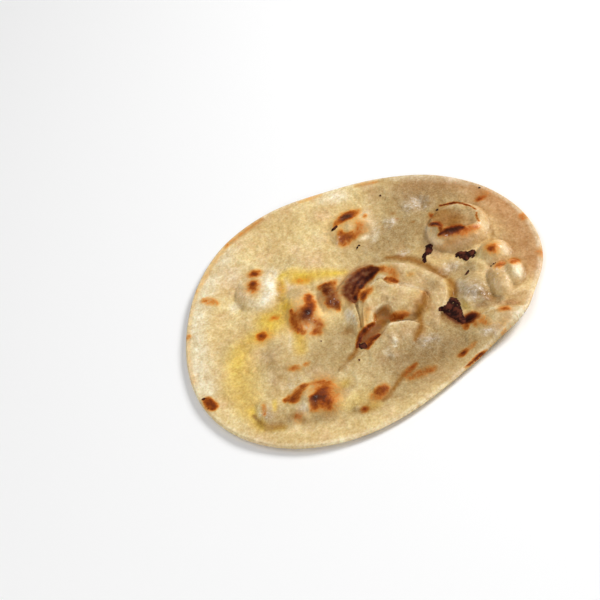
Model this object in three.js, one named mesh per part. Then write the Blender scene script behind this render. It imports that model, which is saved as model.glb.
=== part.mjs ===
// A tandoori roti: one round of flatbread, lying flat with the blistered side up.
// Units are millimetres, +Z is up, and the underside rests on Z = 0.
// Places are measured from the point that the outline's radius turns about.
import * as THREE from 'three';

const { clamp, degToRad, lerp, smoothstep } = THREE.MathUtils;

// Outline: a mean radius, a few slow waves round the rim, and two local bends by the buckled edge.
const MEAN_RADIUS = 88.2;
const OUTLINE_WAVES = [
  { count: 1, depth: 3.6, turn: 158 },
  { count: 2, depth: 6.8, turn: -20 },
  { count: 3, depth: 3.7, turn: 14 },
  { count: 4, depth: 0.7, turn: -180 },
  { count: 5, depth: 0.7, turn: 94 },
];
const OUTLINE_BENDS = [
  { at: -40, width: 9, depth: 2.8 },
  { at: -27, width: 8, depth: -1.2 },
];
// The outline's own centre, from the middle of the footprint.
const OUTLINE_CENTRE = [0.2, 1.9];

// Sheet
const SHEET_THICKNESS = 2.8;
const RIM_THICKNESS = 2.0;
const RIM_THINS_FROM = 0.86; // share of the radius
const RIM_LIFTS_FROM = 0.76; // share of the radius
const RIM_LIFT = 1.5;
const RIM_LIFT_VARIES = 0.6;
const RIM_LIFT_HIGHEST = 20; // degrees
const RIM_BULGE = 0.5;
const WAVE_HEIGHT = 0.22;
const WAVE_LENGTH = 17;

// The buckled stretch of edge, where the whole sheet stands off the table.
const BUCKLE_LIFT = { at: [68, -58], reach: [36, 21], height: 3.6, fullness: 2 };

// Blisters: half sizes along X and Y, height over the sheet, and how full the dome is
// (2 is a soft swelling, under 1 is a tight bubble).
const BLISTERS = {
  leftDome: { at: [-47.5, 27.6], reach: [13, 14.5], height: 5.2, fullness: 1.2 },
  scorchedRing: { at: [10.5, 47], reach: [14, 13], height: 3, fullness: 1.5 },
  beadByRing: { at: [20, 49.5], reach: [4, 4], height: 1.6, fullness: 1 },
  longLeftOfTear: { at: [-29.5, 3.5], reach: [10, 19], height: 4, fullness: 1.3 },
  shortLeftOfTear: { at: [-14.5, 5], reach: [6.5, 11], height: 3.6, fullness: 1.2 },
  lowLeft: { at: [-48.5, -23], reach: [14, 15], height: 2.5, fullness: 2 },
  frontLeft: { at: [-41.5, -54.4], reach: [16, 13.5], height: 5, fullness: 1.4 },
  narrowLeft: { at: [-64.5, -51.5], reach: [6, 10.5], height: 2.5, fullness: 1.5 },
  rightUpper: { at: [71, -10.5], reach: [8.6, 8.2], height: 7.2, fullness: 0.7 },
  rightInner: { at: [67.5, -27], reach: [6, 10], height: 6.4, fullness: 0.8 },
  rightOuter: { at: [76, -25.5], reach: [5.6, 10], height: 7, fullness: 0.8 },
  besideRight: { at: [52.5, -27], reach: [9.2, 9.6], height: 5, fullness: 0.9 },
};

// The burst blister: a dome with its top gone, open to a smooth bowl.
const BURST_DOME = { at: [59.5, 16.5], reach: [15.5, 15.5], height: 8.5, fullness: 0.75 };
const BURST_OPENING = { at: [60, 20], reach: [12.2, 10.2] };
const BURST_FLOOR = 0.6; // over the sheet
const BURST_WALL_NEAR = 0.3; // wall width as a share of the opening
const BURST_WALL_FAR = 0.85;

// The torn blister in the middle: a low dome, and folds that run along its torn edges.
// A fold's path holds X, Y and height; it falls away over one reach to its left and another to its right.
const TORN_DOME = { at: [14, -16], reach: [32, 28], height: 3, fullness: 2 };
const FOLDS = {
  outerLip: {
    path: [
      [-11, 6, 2],
      [0.5, 10, 5],
      [11.5, 10.5, 6.5],
      [25.5, 2.5, 7],
      [36.5, -11.5, 5.7],
      [40, -18, 5],
      [38.5, -24, 4.5],
      [35, -31, 3],
    ],
    left: 5,
    right: 13,
  },
  flap: {
    path: [
      [-1.5, -5, 1.2],
      [5, -2.3, 2.7],
      [13.5, -0.5, 4.7],
      [17, -7.5, 4.7],
      [25, -15.7, 4.3],
      [30, -20, 3.7],
      [29, -26.5, 2.2],
      [23.5, -28, 1.2],
    ],
    left: 2,
    right: 26,
  },
  pleats: {
    path: [
      [-10.5, -31, 0.8],
      [-6, -24, 1.2],
      [1, -18, 1.5],
      [0, -9, 1.5],
      [-4, 0, 1.5],
    ],
    left: 8,
    right: 3,
  },
  frontLip: {
    path: [
      [-24, -41, 0.4],
      [-12, -38, 0.8],
      [-5, -35, 1.1],
      [4, -30.5, 1.4],
      [10, -30.5, 1.6],
      [16, -31, 1.6],
      [21, -34, 1],
      [27, -38, 0.4],
    ],
    left: 2,
    right: 20,
  },
  buckle: {
    path: [
      [72, -58, 2.6],
      [61, -50, 3],
      [51, -46.5, 2.8],
      [44, -47.5, 2],
      [37, -46, 0.6],
    ],
    left: 24,
    right: 4,
  },
};
const FOLD_STEPS = 24;

// The slot under the flap. Its path holds X, Y and half width.
const SLOT_PATH = [
  [7, -20, 4.6],
  [1, -25.5, 4.2],
  [-6.5, -32, 2.4],
];
const SLOT_FLOOR = 1.2; // over the underside
const SLOT_WALL = 2;

// Facets
const RIM_POINTS = 132;
const UNDERSIDE_RINGS = 10;
const FLATNESS = 0.1; // how far the surface may stand off an edge before that edge is split
const SHORTEST_EDGE = 1.8;
const SPLIT_ROUNDS = 4;

function outlineRadius(angle) {
  let radius = MEAN_RADIUS;
  for (const { count, depth, turn } of OUTLINE_WAVES) {
    radius += depth * Math.cos(count * angle + degToRad(turn));
  }
  for (const { at, width, depth } of OUTLINE_BENDS) {
    radius += depth * Math.exp(-(((angle - degToRad(at)) / degToRad(width)) ** 2));
  }
  return radius;
}

// Angles run from -180 to 180 degrees, so that the bends lie inside one turn.
function rimPoint(share, turnShare) {
  const angle = (turnShare - 0.5) * 2 * Math.PI;
  const radius = outlineRadius(angle) * share;
  return new THREE.Vector2(radius * Math.cos(angle), radius * Math.sin(angle));
}

function domeHeight(x, y, { at, reach, height, fullness }) {
  const out = ((x - at[0]) / reach[0]) ** 2 + ((y - at[1]) / reach[1]) ** 2;
  return out < 1 ? height * (1 - out) ** fullness : 0;
}

// A smooth run of points through a path, the third number riding along.
function smoothPath(path) {
  const curve = new THREE.CatmullRomCurve3(path.map((p) => new THREE.Vector3(...p)));
  return curve.getPoints(FOLD_STEPS);
}

// The nearest place on a path: distance, side and the number that rides along.
function nearestOn(points, x, y) {
  const best = { distance: Infinity, value: 0, onLeft: false };
  for (let i = 1; i < points.length; i++) {
    const a = points[i - 1];
    const b = points[i];
    const ux = b.x - a.x;
    const uy = b.y - a.y;
    const along = clamp(((x - a.x) * ux + (y - a.y) * uy) / (ux * ux + uy * uy), 0, 1);
    const dx = x - a.x - along * ux;
    const dy = y - a.y - along * uy;
    const distance = Math.hypot(dx, dy);
    if (distance < best.distance) {
      best.distance = distance;
      best.value = lerp(a.z, b.z, along);
      best.onLeft = ux * dy - uy * dx > 0;
    }
  }
  return best;
}

const foldRuns = Object.values(FOLDS).map(({ path, left, right }) => ({ points: smoothPath(path), left, right }));
const slotRun = smoothPath(SLOT_PATH);

function foldHeight(x, y, { points, left, right }) {
  const { distance, value, onLeft } = nearestOn(points, x, y);
  return value * (1 - smoothstep(distance, 0, onLeft ? left : right));
}

function burstHeight(x, y) {
  const dome = domeHeight(x, y, BURST_DOME);
  const dx = (x - BURST_OPENING.at[0]) / BURST_OPENING.reach[0];
  const dy = (y - BURST_OPENING.at[1]) / BURST_OPENING.reach[1];
  const out = Math.hypot(dx, dy);
  if (out >= 1) {
    return dome;
  }
  const far = (dy / Math.max(out, 0.01) + 1) / 2;
  const wall = lerp(BURST_WALL_NEAR, BURST_WALL_FAR, far);
  return lerp(Math.min(BURST_FLOOR, dome), dome, smoothstep(out, 1 - wall, 1));
}

function shareOfRadius(x, y) {
  return Math.hypot(x, y) / outlineRadius(Math.atan2(y, x));
}

function undersideHeight(x, y) {
  const swing = RIM_LIFT_VARIES * Math.cos(Math.atan2(y, x) - degToRad(RIM_LIFT_HIGHEST));
  const lift = (RIM_LIFT + swing) * smoothstep(shareOfRadius(x, y), RIM_LIFTS_FROM, 1);
  return lift + domeHeight(x, y, BUCKLE_LIFT);
}

function relief(x, y) {
  const waves = Math.sin(x / WAVE_LENGTH * 2 + 1) * Math.sin(y / WAVE_LENGTH * 2.3) * WAVE_HEIGHT;
  const blisters = Object.values(BLISTERS).map((blister) => domeHeight(x, y, blister));
  const folds = foldRuns.map((fold) => foldHeight(x, y, fold));
  return waves + domeHeight(x, y, TORN_DOME) + Math.max(burstHeight(x, y), ...blisters, ...folds);
}

function topHeight(x, y) {
  const under = undersideHeight(x, y);
  const rim = smoothstep(shareOfRadius(x, y), RIM_THINS_FROM, 1);
  const top = under + lerp(SHEET_THICKNESS, RIM_THICKNESS, rim) + relief(x, y);
  const slot = nearestOn(slotRun, x, y);
  return lerp(under + SLOT_FLOOR, top, smoothstep(slot.distance, slot.value - SLOT_WALL, slot.value));
}

// The triangles between two rings of points about the same centre, facing up.
function stitchRings(outer, inner) {
  const triangles = [];
  let o = 0;
  let i = 0;
  while (o < outer.length || i < inner.length) {
    const outerFirst = (o + 1) / outer.length <= (i + 1) / inner.length;
    const outerHere = outer[o % outer.length];
    const innerHere = inner[i % inner.length];
    if (i === inner.length || inner.length === 1 || (o < outer.length && outerFirst)) {
      triangles.push([outerHere, outer[(o + 1) % outer.length], innerHere]);
      o++;
      i += inner.length === 1 && o === outer.length ? 1 : 0;
    } else {
      triangles.push([outerHere, inner[(i + 1) % inner.length], innerHere]);
      i++;
    }
  }
  return triangles;
}

// A disc in plan: rings of points under the given rim, and one point in the middle.
function discUnder(points, rim, rings) {
  const triangles = [];
  let outer = rim;
  for (let ring = rings - 1; ring >= 0; ring--) {
    const count = Math.max(1, 6 * ring);
    const inner = [];
    for (let k = 0; k < count; k++) {
      inner.push(points.length);
      points.push(rimPoint(ring / rings, k / count));
    }
    triangles.push(...stitchRings(outer, inner));
    outer = inner;
  }
  return triangles;
}

// Splits each edge that the surface stands off, and each triangle to match.
function splitRound(points, triangles, rimSize, height) {
  const middles = new Map();
  function middleOf(a, b) {
    const key = a < b ? `${a} ${b}` : `${b} ${a}`;
    if (!middles.has(key)) {
      const middle = points[a].clone().lerp(points[b], 0.5);
      const ends = (height(points[a].x, points[a].y) + height(points[b].x, points[b].y)) / 2;
      const bowed = Math.abs(height(middle.x, middle.y) - ends) > FLATNESS;
      const onRim = a < rimSize && b < rimSize;
      const long = points[a].distanceTo(points[b]) > SHORTEST_EDGE;
      middles.set(key, bowed && long && !onRim ? points.push(middle) - 1 : -1);
    }
    return middles.get(key);
  }
  return triangles.flatMap((corners) => {
    const cuts = corners.map((corner, k) => middleOf(corner, corners[(k + 1) % 3]));
    const made = cuts.filter((cut) => cut >= 0).length;
    if (made === 0) {
      return [corners];
    }
    // Turn the triangle so that the pattern of cut edges starts at its first edge.
    const first = made === 1 ? cuts.findIndex((cut) => cut >= 0) : (cuts.findIndex((cut) => cut < 0) + 1) % 3;
    const [a, b, c] = [0, 1, 2].map((k) => corners[(first + k) % 3]);
    const [ab, bc, ca] = [0, 1, 2].map((k) => cuts[(first + k) % 3]);
    if (made === 1) {
      return [
        [a, ab, c],
        [ab, b, c],
      ];
    }
    if (made === 2) {
      return [
        [ab, b, bc],
        [a, ab, bc],
        [a, bc, c],
      ];
    }
    return [
      [a, ab, ca],
      [ab, b, bc],
      [ca, bc, c],
      [ab, bc, ca],
    ];
  });
}

// The loaf as one closed surface: the split top disc, a rounded rim, and a plainer underside.
function rotiGeometry() {
  const rim = Array.from({ length: RIM_POINTS }, (_, k) => k);
  const topPlan = rim.map((k) => rimPoint(1, k / RIM_POINTS));
  let topFaces = discUnder(topPlan, rim, RIM_POINTS / 6);
  for (let round = 0; round < SPLIT_ROUNDS; round++) {
    topFaces = splitRound(topPlan, topFaces, RIM_POINTS, topHeight);
  }
  const underPlan = rim.map((k) => rimPoint(1, k / RIM_POINTS));
  const underFaces = discUnder(underPlan, rim, UNDERSIDE_RINGS);

  const vertices = topPlan.map(({ x, y }) => [x, y, topHeight(x, y)]);
  const underStart = vertices.length;
  vertices.push(...underPlan.map(({ x, y }) => [x, y, undersideHeight(x, y)]));
  const bulgeStart = vertices.length;
  for (const { x, y } of rim.map((k) => rimPoint(1, k / RIM_POINTS))) {
    const out = 1 + RIM_BULGE / Math.hypot(x, y);
    vertices.push([x * out, y * out, (topHeight(x, y) + undersideHeight(x, y)) / 2]);
  }

  const faces = [...topFaces, ...underFaces.map(([a, b, c]) => [underStart + a, underStart + c, underStart + b])];
  for (const k of rim) {
    const next = (k + 1) % RIM_POINTS;
    faces.push([k, bulgeStart + k, bulgeStart + next], [k, bulgeStart + next, next]);
    faces.push([bulgeStart + k, underStart + k, underStart + next], [bulgeStart + k, underStart + next, bulgeStart + next]);
  }
  const geometry = new THREE.BufferGeometry();
  geometry.setAttribute('position', new THREE.Float32BufferAttribute(vertices.flat(), 3));
  geometry.setIndex(faces.flat());
  geometry.translate(OUTLINE_CENTRE[0], OUTLINE_CENTRE[1], 0);
  geometry.computeVertexNormals();
  return geometry;
}

const bread = new THREE.MeshStandardMaterial({ color: 0xdcc79b, roughness: 0.6 });
const roti = new THREE.Mesh(rotiGeometry(), bread);
roti.name = 'roti';

const part = new THREE.Group();
part.add(roti);
export default part;
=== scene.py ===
"""Dresses the tandoori roti: its blistered sheet, its scorch marks and butter, and the studio round it.

Sizes are in millimetres until a mesh is written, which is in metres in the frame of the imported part.
Places on the bread are measured from the point that the outline's radius turns about.
"""

from __future__ import annotations

import logging
import math
from dataclasses import dataclass, field
from enum import Enum

import bpy
import numpy as np
from mathutils import Matrix, Vector, noise


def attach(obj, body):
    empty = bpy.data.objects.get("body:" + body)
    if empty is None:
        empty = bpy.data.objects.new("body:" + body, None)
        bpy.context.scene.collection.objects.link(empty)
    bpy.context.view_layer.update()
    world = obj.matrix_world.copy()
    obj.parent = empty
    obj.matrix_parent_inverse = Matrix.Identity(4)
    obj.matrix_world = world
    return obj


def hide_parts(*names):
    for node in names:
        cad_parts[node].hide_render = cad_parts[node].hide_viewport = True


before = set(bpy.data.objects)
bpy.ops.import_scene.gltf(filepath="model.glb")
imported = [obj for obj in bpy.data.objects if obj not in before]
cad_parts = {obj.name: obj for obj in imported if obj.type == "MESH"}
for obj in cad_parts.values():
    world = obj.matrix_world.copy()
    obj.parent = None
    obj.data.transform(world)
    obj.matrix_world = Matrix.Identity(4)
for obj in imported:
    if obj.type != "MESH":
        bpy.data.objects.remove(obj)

LOG = logging.getLogger("roti")
MM = 0.001
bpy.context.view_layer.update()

Array = np.ndarray
Place = tuple[float, float]
Span = tuple[float, float]
Route = tuple[tuple[float, float, float], ...]
Colour = tuple[float, float, float]
Stops = tuple[tuple[float, Colour], ...]
Socket = bpy.types.NodeSocket
Paint = Socket | Colour

# How far past its edge a mark fades out, as a share of its softness
SPILL = 0.6
# How many points each stretch of a route gets: folds are drawn finer than marks
FOLD_STEPS = 6
STREAK_STEPS = 4


def ease(value: Array, low: float | Array, high: float | Array) -> Array:
    """A smooth rise from 0 at low to 1 at high.

    Args:
        value: What is measured.
        low: Where the rise starts.
        high: Where the rise ends.

    Returns:
        The share of the rise, from 0 to 1.
    """
    share = np.clip((value - low) / (high - low), 0.0, 1.0)
    return share * share * (3.0 - 2.0 * share)


def fade(away: Array, soft: float) -> Array:
    """A mark's strength by distance from its middle.

    Args:
        away: The distance, with 1 at the mark's edge.
        soft: How soft the edge is, from 0 to 1.

    Returns:
        The strength, from 1 in the middle to 0 outside.
    """
    return 1.0 - ease(away, 1.0 - soft, 1.0 + SPILL * soft)


def smooth_route(route: Route, steps: int = FOLD_STEPS) -> Array:
    """A smooth run of points through a route, with its third number riding along.

    Args:
        route: Points as x, y and a number.
        steps: How many points each stretch gets.

    Returns:
        The points, one row each.
    """
    points = np.array(route, float)
    before = np.vstack([2 * points[0] - points[1], points, 2 * points[-1] - points[-2]])
    share = np.linspace(0.0, 1.0, steps, endpoint=False)[:, None]
    runs = []
    for a, b, c, d in zip(before, before[1:], before[2:], before[3:]):
        bend = 2 * a - 5 * b + 4 * c - d
        swing = 3 * (b - c) + d - a
        runs.append(b + 0.5 * share * (c - a + share * (bend + share * swing)))
    return np.vstack([*runs, points[-1:]])


def nearest_on(points: Array, x: Array, y: Array) -> tuple[Array, Array, Array]:
    """The nearest place on a run of points.

    Args:
        points: The run, as rows of x, y and a number.
        x: Places across.
        y: Places along.

    Returns:
        The distance, the number that rides along, and whether the place is left of the run.
    """
    best = np.full(x.shape, np.inf)
    value = np.zeros(x.shape)
    left = np.zeros(x.shape, bool)
    for (ax, ay, az), (bx, by, bz) in zip(points, points[1:]):
        ux, uy = bx - ax, by - ay
        share = np.clip(((x - ax) * ux + (y - ay) * uy) / (ux * ux + uy * uy), 0.0, 1.0)
        dx = x - ax - share * ux
        dy = y - ay - share * uy
        distance = np.hypot(dx, dy)
        closer = distance < best
        best = np.where(closer, distance, best)
        value = np.where(closer, az + share * (bz - az), value)
        left = np.where(closer, ux * dy - uy * dx > 0, left)
    return best, value, left


def within(loop: Array, x: Array, y: Array) -> Array:
    """Which places lie inside a closed run of points.

    Args:
        loop: The run, as rows that start with x and y.
        x: Places across.
        y: Places along.

    Returns:
        True for each place inside.
    """
    inside = np.zeros(x.shape, bool)
    for (ax, ay, *_), (bx, by, *_) in zip(loop, loop[1:]):
        if ay != by:
            crosses = (ay > y) != (by > y)
            inside ^= crosses & (x < (bx - ax) * (y - ay) / (by - ay) + ax)
    return inside


def in_half_sizes(x: Array, y: Array, at: Place, reach: Place, turn: float) -> tuple[Array, Array]:
    """Places measured along the two axes of an oval.

    Args:
        x: Places across.
        y: Places along.
        at: The oval's middle.
        reach: Its half sizes.
        turn: How far it is turned, in degrees.

    Returns:
        The places along its first and its second axis, in half sizes.
    """
    angle = math.radians(turn)
    dx = x - at[0]
    dy = y - at[1]
    along = (dx * math.cos(angle) + dy * math.sin(angle)) / reach[0]
    across = (dy * math.cos(angle) - dx * math.sin(angle)) / reach[1]
    return along, across


@dataclass(frozen=True)
class Lumps:
    """A layer of smooth noise over the bread: its height, the size of a lump and which layer it is."""

    height: float
    size: float
    seed: float

    def rise(self, x: Array, y: Array) -> Array:
        """The layer's height at each place, above and below 0."""
        places = zip(x / self.size, y / self.size)
        return self.height * np.array([noise.noise((a, b, self.seed)) for a, b in places])


@dataclass(frozen=True)
class Wave:
    """One slow wave of the rim."""

    count: int
    depth: float
    turn: float


@dataclass(frozen=True)
class Bend:
    """One local bend of the rim."""

    at: float
    width: float
    depth: float


@dataclass(frozen=True)
class Outline:
    """The roti's edge, seen from above."""

    mean_radius: float = 88.2
    waves: tuple[Wave, ...] = (
        Wave(1, 3.6, 158.0),
        Wave(2, 6.8, -20.0),
        Wave(3, 3.7, 14.0),
        Wave(4, 0.7, -180.0),
        Wave(5, 0.7, 94.0),
    )
    bends: tuple[Bend, ...] = (Bend(-40.0, 9.0, 2.8), Bend(-27.0, 8.0, -1.2))
    centre: Place = (0.2, 1.9)

    def radius(self, angle: Array) -> Array:
        """The rim's distance from the centre.

        Args:
            angle: Angles between -pi and pi.

        Returns:
            The distance at each angle.
        """
        radius = np.full(np.shape(angle), self.mean_radius)
        for wave in self.waves:
            radius = radius + wave.depth * np.cos(wave.count * angle + math.radians(wave.turn))
        for bend in self.bends:
            away = (angle - math.radians(bend.at)) / math.radians(bend.width)
            radius = radius + bend.depth * np.exp(-(away**2))
        return radius

    def share(self, x: Array, y: Array) -> Array:
        """How far out a place is, from 0 at the centre to 1 at the rim."""
        return np.hypot(x, y) / self.radius(np.arctan2(y, x))


@dataclass(frozen=True)
class Dome:
    """A blister: its place, half sizes, height, how full it is (under 1 is a tight bubble) and its turn."""

    at: Place
    reach: Place
    height: float
    fullness: float = 2.0
    turn: float = 0.0

    def axes(self, x: Array, y: Array) -> tuple[Array, Array]:
        """Places measured along the dome's own axes, in half sizes."""
        return in_half_sizes(x, y, self.at, self.reach, self.turn)

    def rise(self, x: Array, y: Array) -> Array:
        """The dome's height at each place."""
        along, across = self.axes(x, y)
        return self.height * np.clip(1.0 - along**2 - across**2, 0.0, 1.0) ** self.fullness


@dataclass(frozen=True)
class Fold:
    """A fold along a route of x, y and height, with its own fall to each side."""

    route: Route
    left: float
    right: float

    @property
    def run(self) -> Array:
        """The route as a smooth run of points."""
        return smooth_route(self.route)

    def rise(self, x: Array, y: Array) -> Array:
        """The fold's height at each place."""
        distance, height, on_left = nearest_on(self.run, x, y)
        return height * (1.0 - ease(distance, 0.0, np.where(on_left, self.left, self.right)))


@dataclass(frozen=True)
class Flap:
    """A loose flap of skin with a crisp edge that lies on a slope."""

    edge: tuple[Place, ...]
    middle: Place
    height: float
    slope: Place
    wall: float
    crown: float
    crown_reach: float

    @property
    def rim(self) -> Array:
        """The edge as a closed smooth run of points."""
        return smooth_route(tuple((*place, 0.0) for place in (*self.edge, self.edge[0])))

    def rise(self, x: Array, y: Array) -> Array:
        """The flap's height at each place.

        Args:
            x: Places across.
            y: Places along.

        Returns:
            The height, with 0 outside the flap.
        """
        rim = self.rim
        distance, _, _ = nearest_on(rim, x, y)
        inside = np.where(within(rim, x, y), distance, 0.0)
        tilt = self.slope[0] * (x - self.middle[0]) + self.slope[1] * (y - self.middle[1])
        body = (self.height + tilt) * ease(inside, 0.0, self.wall)
        return body + self.crown * ease(inside, 0.0, self.crown_reach)


@dataclass(frozen=True)
class Burst:
    """A blister whose top is gone, open to a smooth bowl with a sharp brim.

    The bowl's wall is steeper on the near side than on the far side, but for a tiny hub in the middle.
    """

    dome: Dome = Dome((59.8, 16.8), (16.0, 16.8), 8.0, 0.65)
    opening: Dome = Dome((60.9, 20.6), (13.3, 10.4), 1.0, turn=-36.0)
    floor: float = 1.2
    near_steepness: float = 5.0
    far_steepness: float = 2.0
    hub: float = 0.01

    def rise(self, x: Array, y: Array) -> Array:
        """The burst blister's height at each place.

        Args:
            x: Places across.
            y: Places along.

        Returns:
            The height of the dome, or of the bowl inside its brim.
        """
        dome = self.dome.rise(x, y)
        along, across = self.opening.axes(x, y)
        out = np.hypot(along, across)
        far = (across / np.maximum(out, self.hub) + 1.0) / 2.0
        steepness = self.near_steepness + far * (self.far_steepness - self.near_steepness)
        floor = np.minimum(self.floor, dome)
        return floor + (dome - floor) * np.clip(out, 0.0, 1.0) ** steepness


@dataclass(frozen=True)
class Slot:
    """The slot under the torn flap, along a route of x, y and half width.

    Its floor climbs with y from the low end, and its wall takes up the last of the half width.
    """

    route: Route = (
        (8.0, -22.4, 3.5), (6.0, -24.8, 4.0), (1.5, -28.4, 3.4), (-4.0, -30.6, 2.4), (-8.5, -32.0, 1.4),
    )
    floor: float = 2.8
    climb: float = 0.2
    low_end: float = -32.0
    wall: float = 1.0

    @property
    def run(self) -> Array:
        """The route as a smooth run of points."""
        return smooth_route(self.route)


@dataclass(frozen=True)
class Sheet:
    """The dough sheet: its thickness, its lifted rim and everything that stands up from it.

    Where the rim thins and lifts is a share of the outline's radius. Merging is how crisply blisters meet.
    """

    outline: Outline = Outline()
    thickness: float = 2.8
    rim_thickness: float = 2.0
    rim_round: float = 0.9
    rim_squareness: float = 3.0
    rim_thins_from: float = 0.86
    rim_lifts_from: float = 0.76
    rim_lift: float = 1.5
    rim_lift_varies: float = 0.6
    rim_lift_highest: float = 20.0
    wave_height: float = 0.22
    wave_length: float = 17.0
    wave_pace: Place = (2.0, 2.3)
    wave_start: float = 1.0
    swells: Lumps = Lumps(0.8, 19.0, 1.7)
    lumps: Lumps = Lumps(0.5, 6.5, 3.1)
    pits: Lumps = Lumps(0.26, 2.3, 7.7)
    merging: float = 4.0
    buckle_lift: Dome = Dome((68.0, -58.0), (36.0, 21.0), 3.6)
    torn_dome: Dome = Dome((14.0, -16.0), (32.0, 28.0), 3.0)
    burst: Burst = Burst()
    slot: Slot = Slot()
    blisters: tuple[Dome, ...] = (
        Dome((-47.5, 27.6), (12.5, 14.0), 2.8, 1.0),
        Dome((10.5, 47.0), (14.0, 13.0), 3.0, 1.5),
        Dome((20.0, 49.5), (4.0, 4.0), 1.6, 1.0),
        Dome((-29.5, 3.5), (10.0, 19.0), 4.0, 1.3),
        Dome((-14.5, 5.0), (6.5, 11.0), 3.6, 1.2),
        Dome((-48.5, -23.0), (14.0, 15.0), 2.5, 2.0),
        Dome((-41.5, -54.4), (16.0, 13.5), 5.0, 1.4),
        Dome((-64.5, -51.5), (6.0, 10.5), 2.5, 1.5),
        Dome((69.6, -9.3), (8.8, 8.6), 6.6, 0.75),
        Dome((61.5, -12.0), (9.0, 7.0), 3.0, 1.3, 20.0),
        Dome((66.3, -27.2), (6.8, 11.4), 5.4, 0.85, -13.0),
        Dome((73.2, -26.6), (5.6, 8.8), 6.4, 0.85, -12.0),
        Dome((52.0, -26.6), (9.6, 13.0), 4.0, 1.1, -15.0),
    )
    knobs: tuple[Dome, ...] = (
        Dome((50.0, -25.0), (5.0, 5.0), 1.2),
        Dome((53.5, -30.5), (4.5, 4.5), 1.0),
        Dome((55.5, -37.0), (4.0, 3.5), 1.1),
        Dome((46.5, -35.0), (3.0, 5.0), 0.9),
        Dome((6.6, -38.0), (3.2, 7.0), 0.9, 2.0, 10.0),
        Dome((3.0, -47.0), (3.0, 4.5), 0.9),
        Dome((19.0, -44.0), (5.0, 4.0), 0.9),
        Dome((27.0, -46.0), (6.0, 4.0), 0.8, 2.0, -30.0),
        Dome((-22.5, -69.0), (3.4, 3.0), 1.1),
        Dome((-9.0, -62.0), (5.0, 6.0), 1.2),
        Dome((43.0, 47.0), (7.0, 6.0), 0.9),
        Dome((53.0, 43.0), (6.0, 5.0), 0.8),
        Dome((31.0, 40.0), (5.0, 4.0), 0.8),
    )
    outer_lip: Fold = Fold(
        (
            (-9.5, 4.6, 2.2), (-2.0, 9.6, 4.3), (4.0, 11.4, 5.2), (11.5, 10.0, 5.8), (25.3, 1.6, 6.2),
            (34.3, -7.6, 5.6), (39.8, -17.0, 4.8), (38.6, -25.3, 4.0), (34.0, -31.5, 2.4),
        ),
        left=4.0,
        right=13.0,
    )
    flap: Flap = Flap(
        (
            (-6.0, -21.6), (-5.0, -17.0), (-4.2, -12.3), (-2.2, -7.7), (0.6, -4.4), (4.7, -2.6),
            (9.4, -1.1), (13.4, -1.8), (15.2, -6.3), (19.1, -10.5), (23.8, -14.9), (29.0, -19.6),
            (30.8, -21.9), (28.9, -26.1), (25.2, -29.6), (21.1, -31.6), (16.6, -31.0), (12.6, -28.6),
            (10.6, -24.6), (9.3, -20.8), (6.2, -19.8), (3.4, -20.6), (1.6, -22.8), (-0.4, -24.6),
            (-3.6, -24.8),
        ),
        middle=(13.0, -16.0),
        height=3.9,
        slope=(0.08, 0.073),
        wall=1.2,
        crown=0.7,
        crown_reach=6.0,
    )
    pleats: tuple[Fold, ...] = (
        Fold(
            (
                (-10.5, -31.0, 0.6), (-7.4, -25.0, 1.4), (-5.6, -19.0, 2.2), (-5.0, -10.0, 1.9),
                (-6.0, 0.0, 1.0),
            ),
            left=7.0,
            right=2.0,
        ),
        Fold(
            (
                (2.6, -8.0, 3.2), (0.0, -12.4, 3.6), (-1.8, -17.0, 3.6), (-3.4, -22.0, 3.2),
                (-4.6, -25.4, 2.4),
            ),
            left=2.2,
            right=2.6,
        ),
        Fold(
            (
                (1.4, -17.6, 1.6), (0.8, -21.0, 1.9), (0.0, -24.0, 2.0), (-4.0, -24.6, 2.0),
                (-7.2, -27.0, 1.6), (-9.6, -30.2, 1.0), (-12.6, -35.0, 0.4),
            ),
            left=1.4,
            right=4.5,
        ),
    )
    front_lip: Fold = Fold(
        (
            (-23.5, -42.4, 0.5), (-17.5, -40.2, 0.8), (-10.6, -38.0, 1.0), (-4.6, -36.3, 1.4),
            (2.6, -33.6, 1.9), (7.0, -30.2, 2.2), (10.4, -30.7, 2.2), (16.4, -32.4, 1.9),
            (20.0, -35.0, 1.2), (24.0, -39.0, 0.4),
        ),
        left=1.5,
        right=18.0,
    )
    buckle: Fold = Fold(
        (
            (72.0, -58.0, 2.6), (61.0, -50.0, 3.0), (51.0, -46.5, 2.8), (44.0, -47.5, 2.0),
            (37.0, -46.0, 0.6),
        ),
        left=24.0,
        right=4.0,
    )

    @property
    def folds(self) -> tuple[Fold, ...]:
        """Every fold of the sheet."""
        return (self.outer_lip, *self.pleats, self.front_lip, self.buckle)

    def underside(self, x: Array, y: Array) -> Array:
        """The height of the underside, which lies on the table but for the rim and the buckled edge.

        Args:
            x: Places across.
            y: Places along.

        Returns:
            The height at each place.
        """
        swing = self.rim_lift_varies * np.cos(np.arctan2(y, x) - math.radians(self.rim_lift_highest))
        lift = (self.rim_lift + swing) * ease(self.outline.share(x, y), self.rim_lifts_from, 1.0)
        return lift + self.buckle_lift.rise(x, y)

    def relief(self, x: Array, y: Array) -> Array:
        """What stands up from the sheet's own thickness.

        Args:
            x: Places across.
            y: Places along.

        Returns:
            The height at each place.
        """
        waves = np.sin(x / self.wave_length * self.wave_pace[0] + self.wave_start)
        waves = waves * np.sin(y / self.wave_length * self.wave_pace[1]) * self.wave_height
        merged = np.sum([blister.rise(x, y) ** self.merging for blister in self.blisters], axis=0)
        stands = [self.burst.rise(x, y), merged ** (1.0 / self.merging)]
        stands += [part.rise(x, y) for part in (*self.folds, self.flap)]
        knobs = np.sum([knob.rise(x, y) for knob in self.knobs], axis=0)
        return waves + knobs + self.torn_dome.rise(x, y) + np.max(stands, axis=0)

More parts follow.
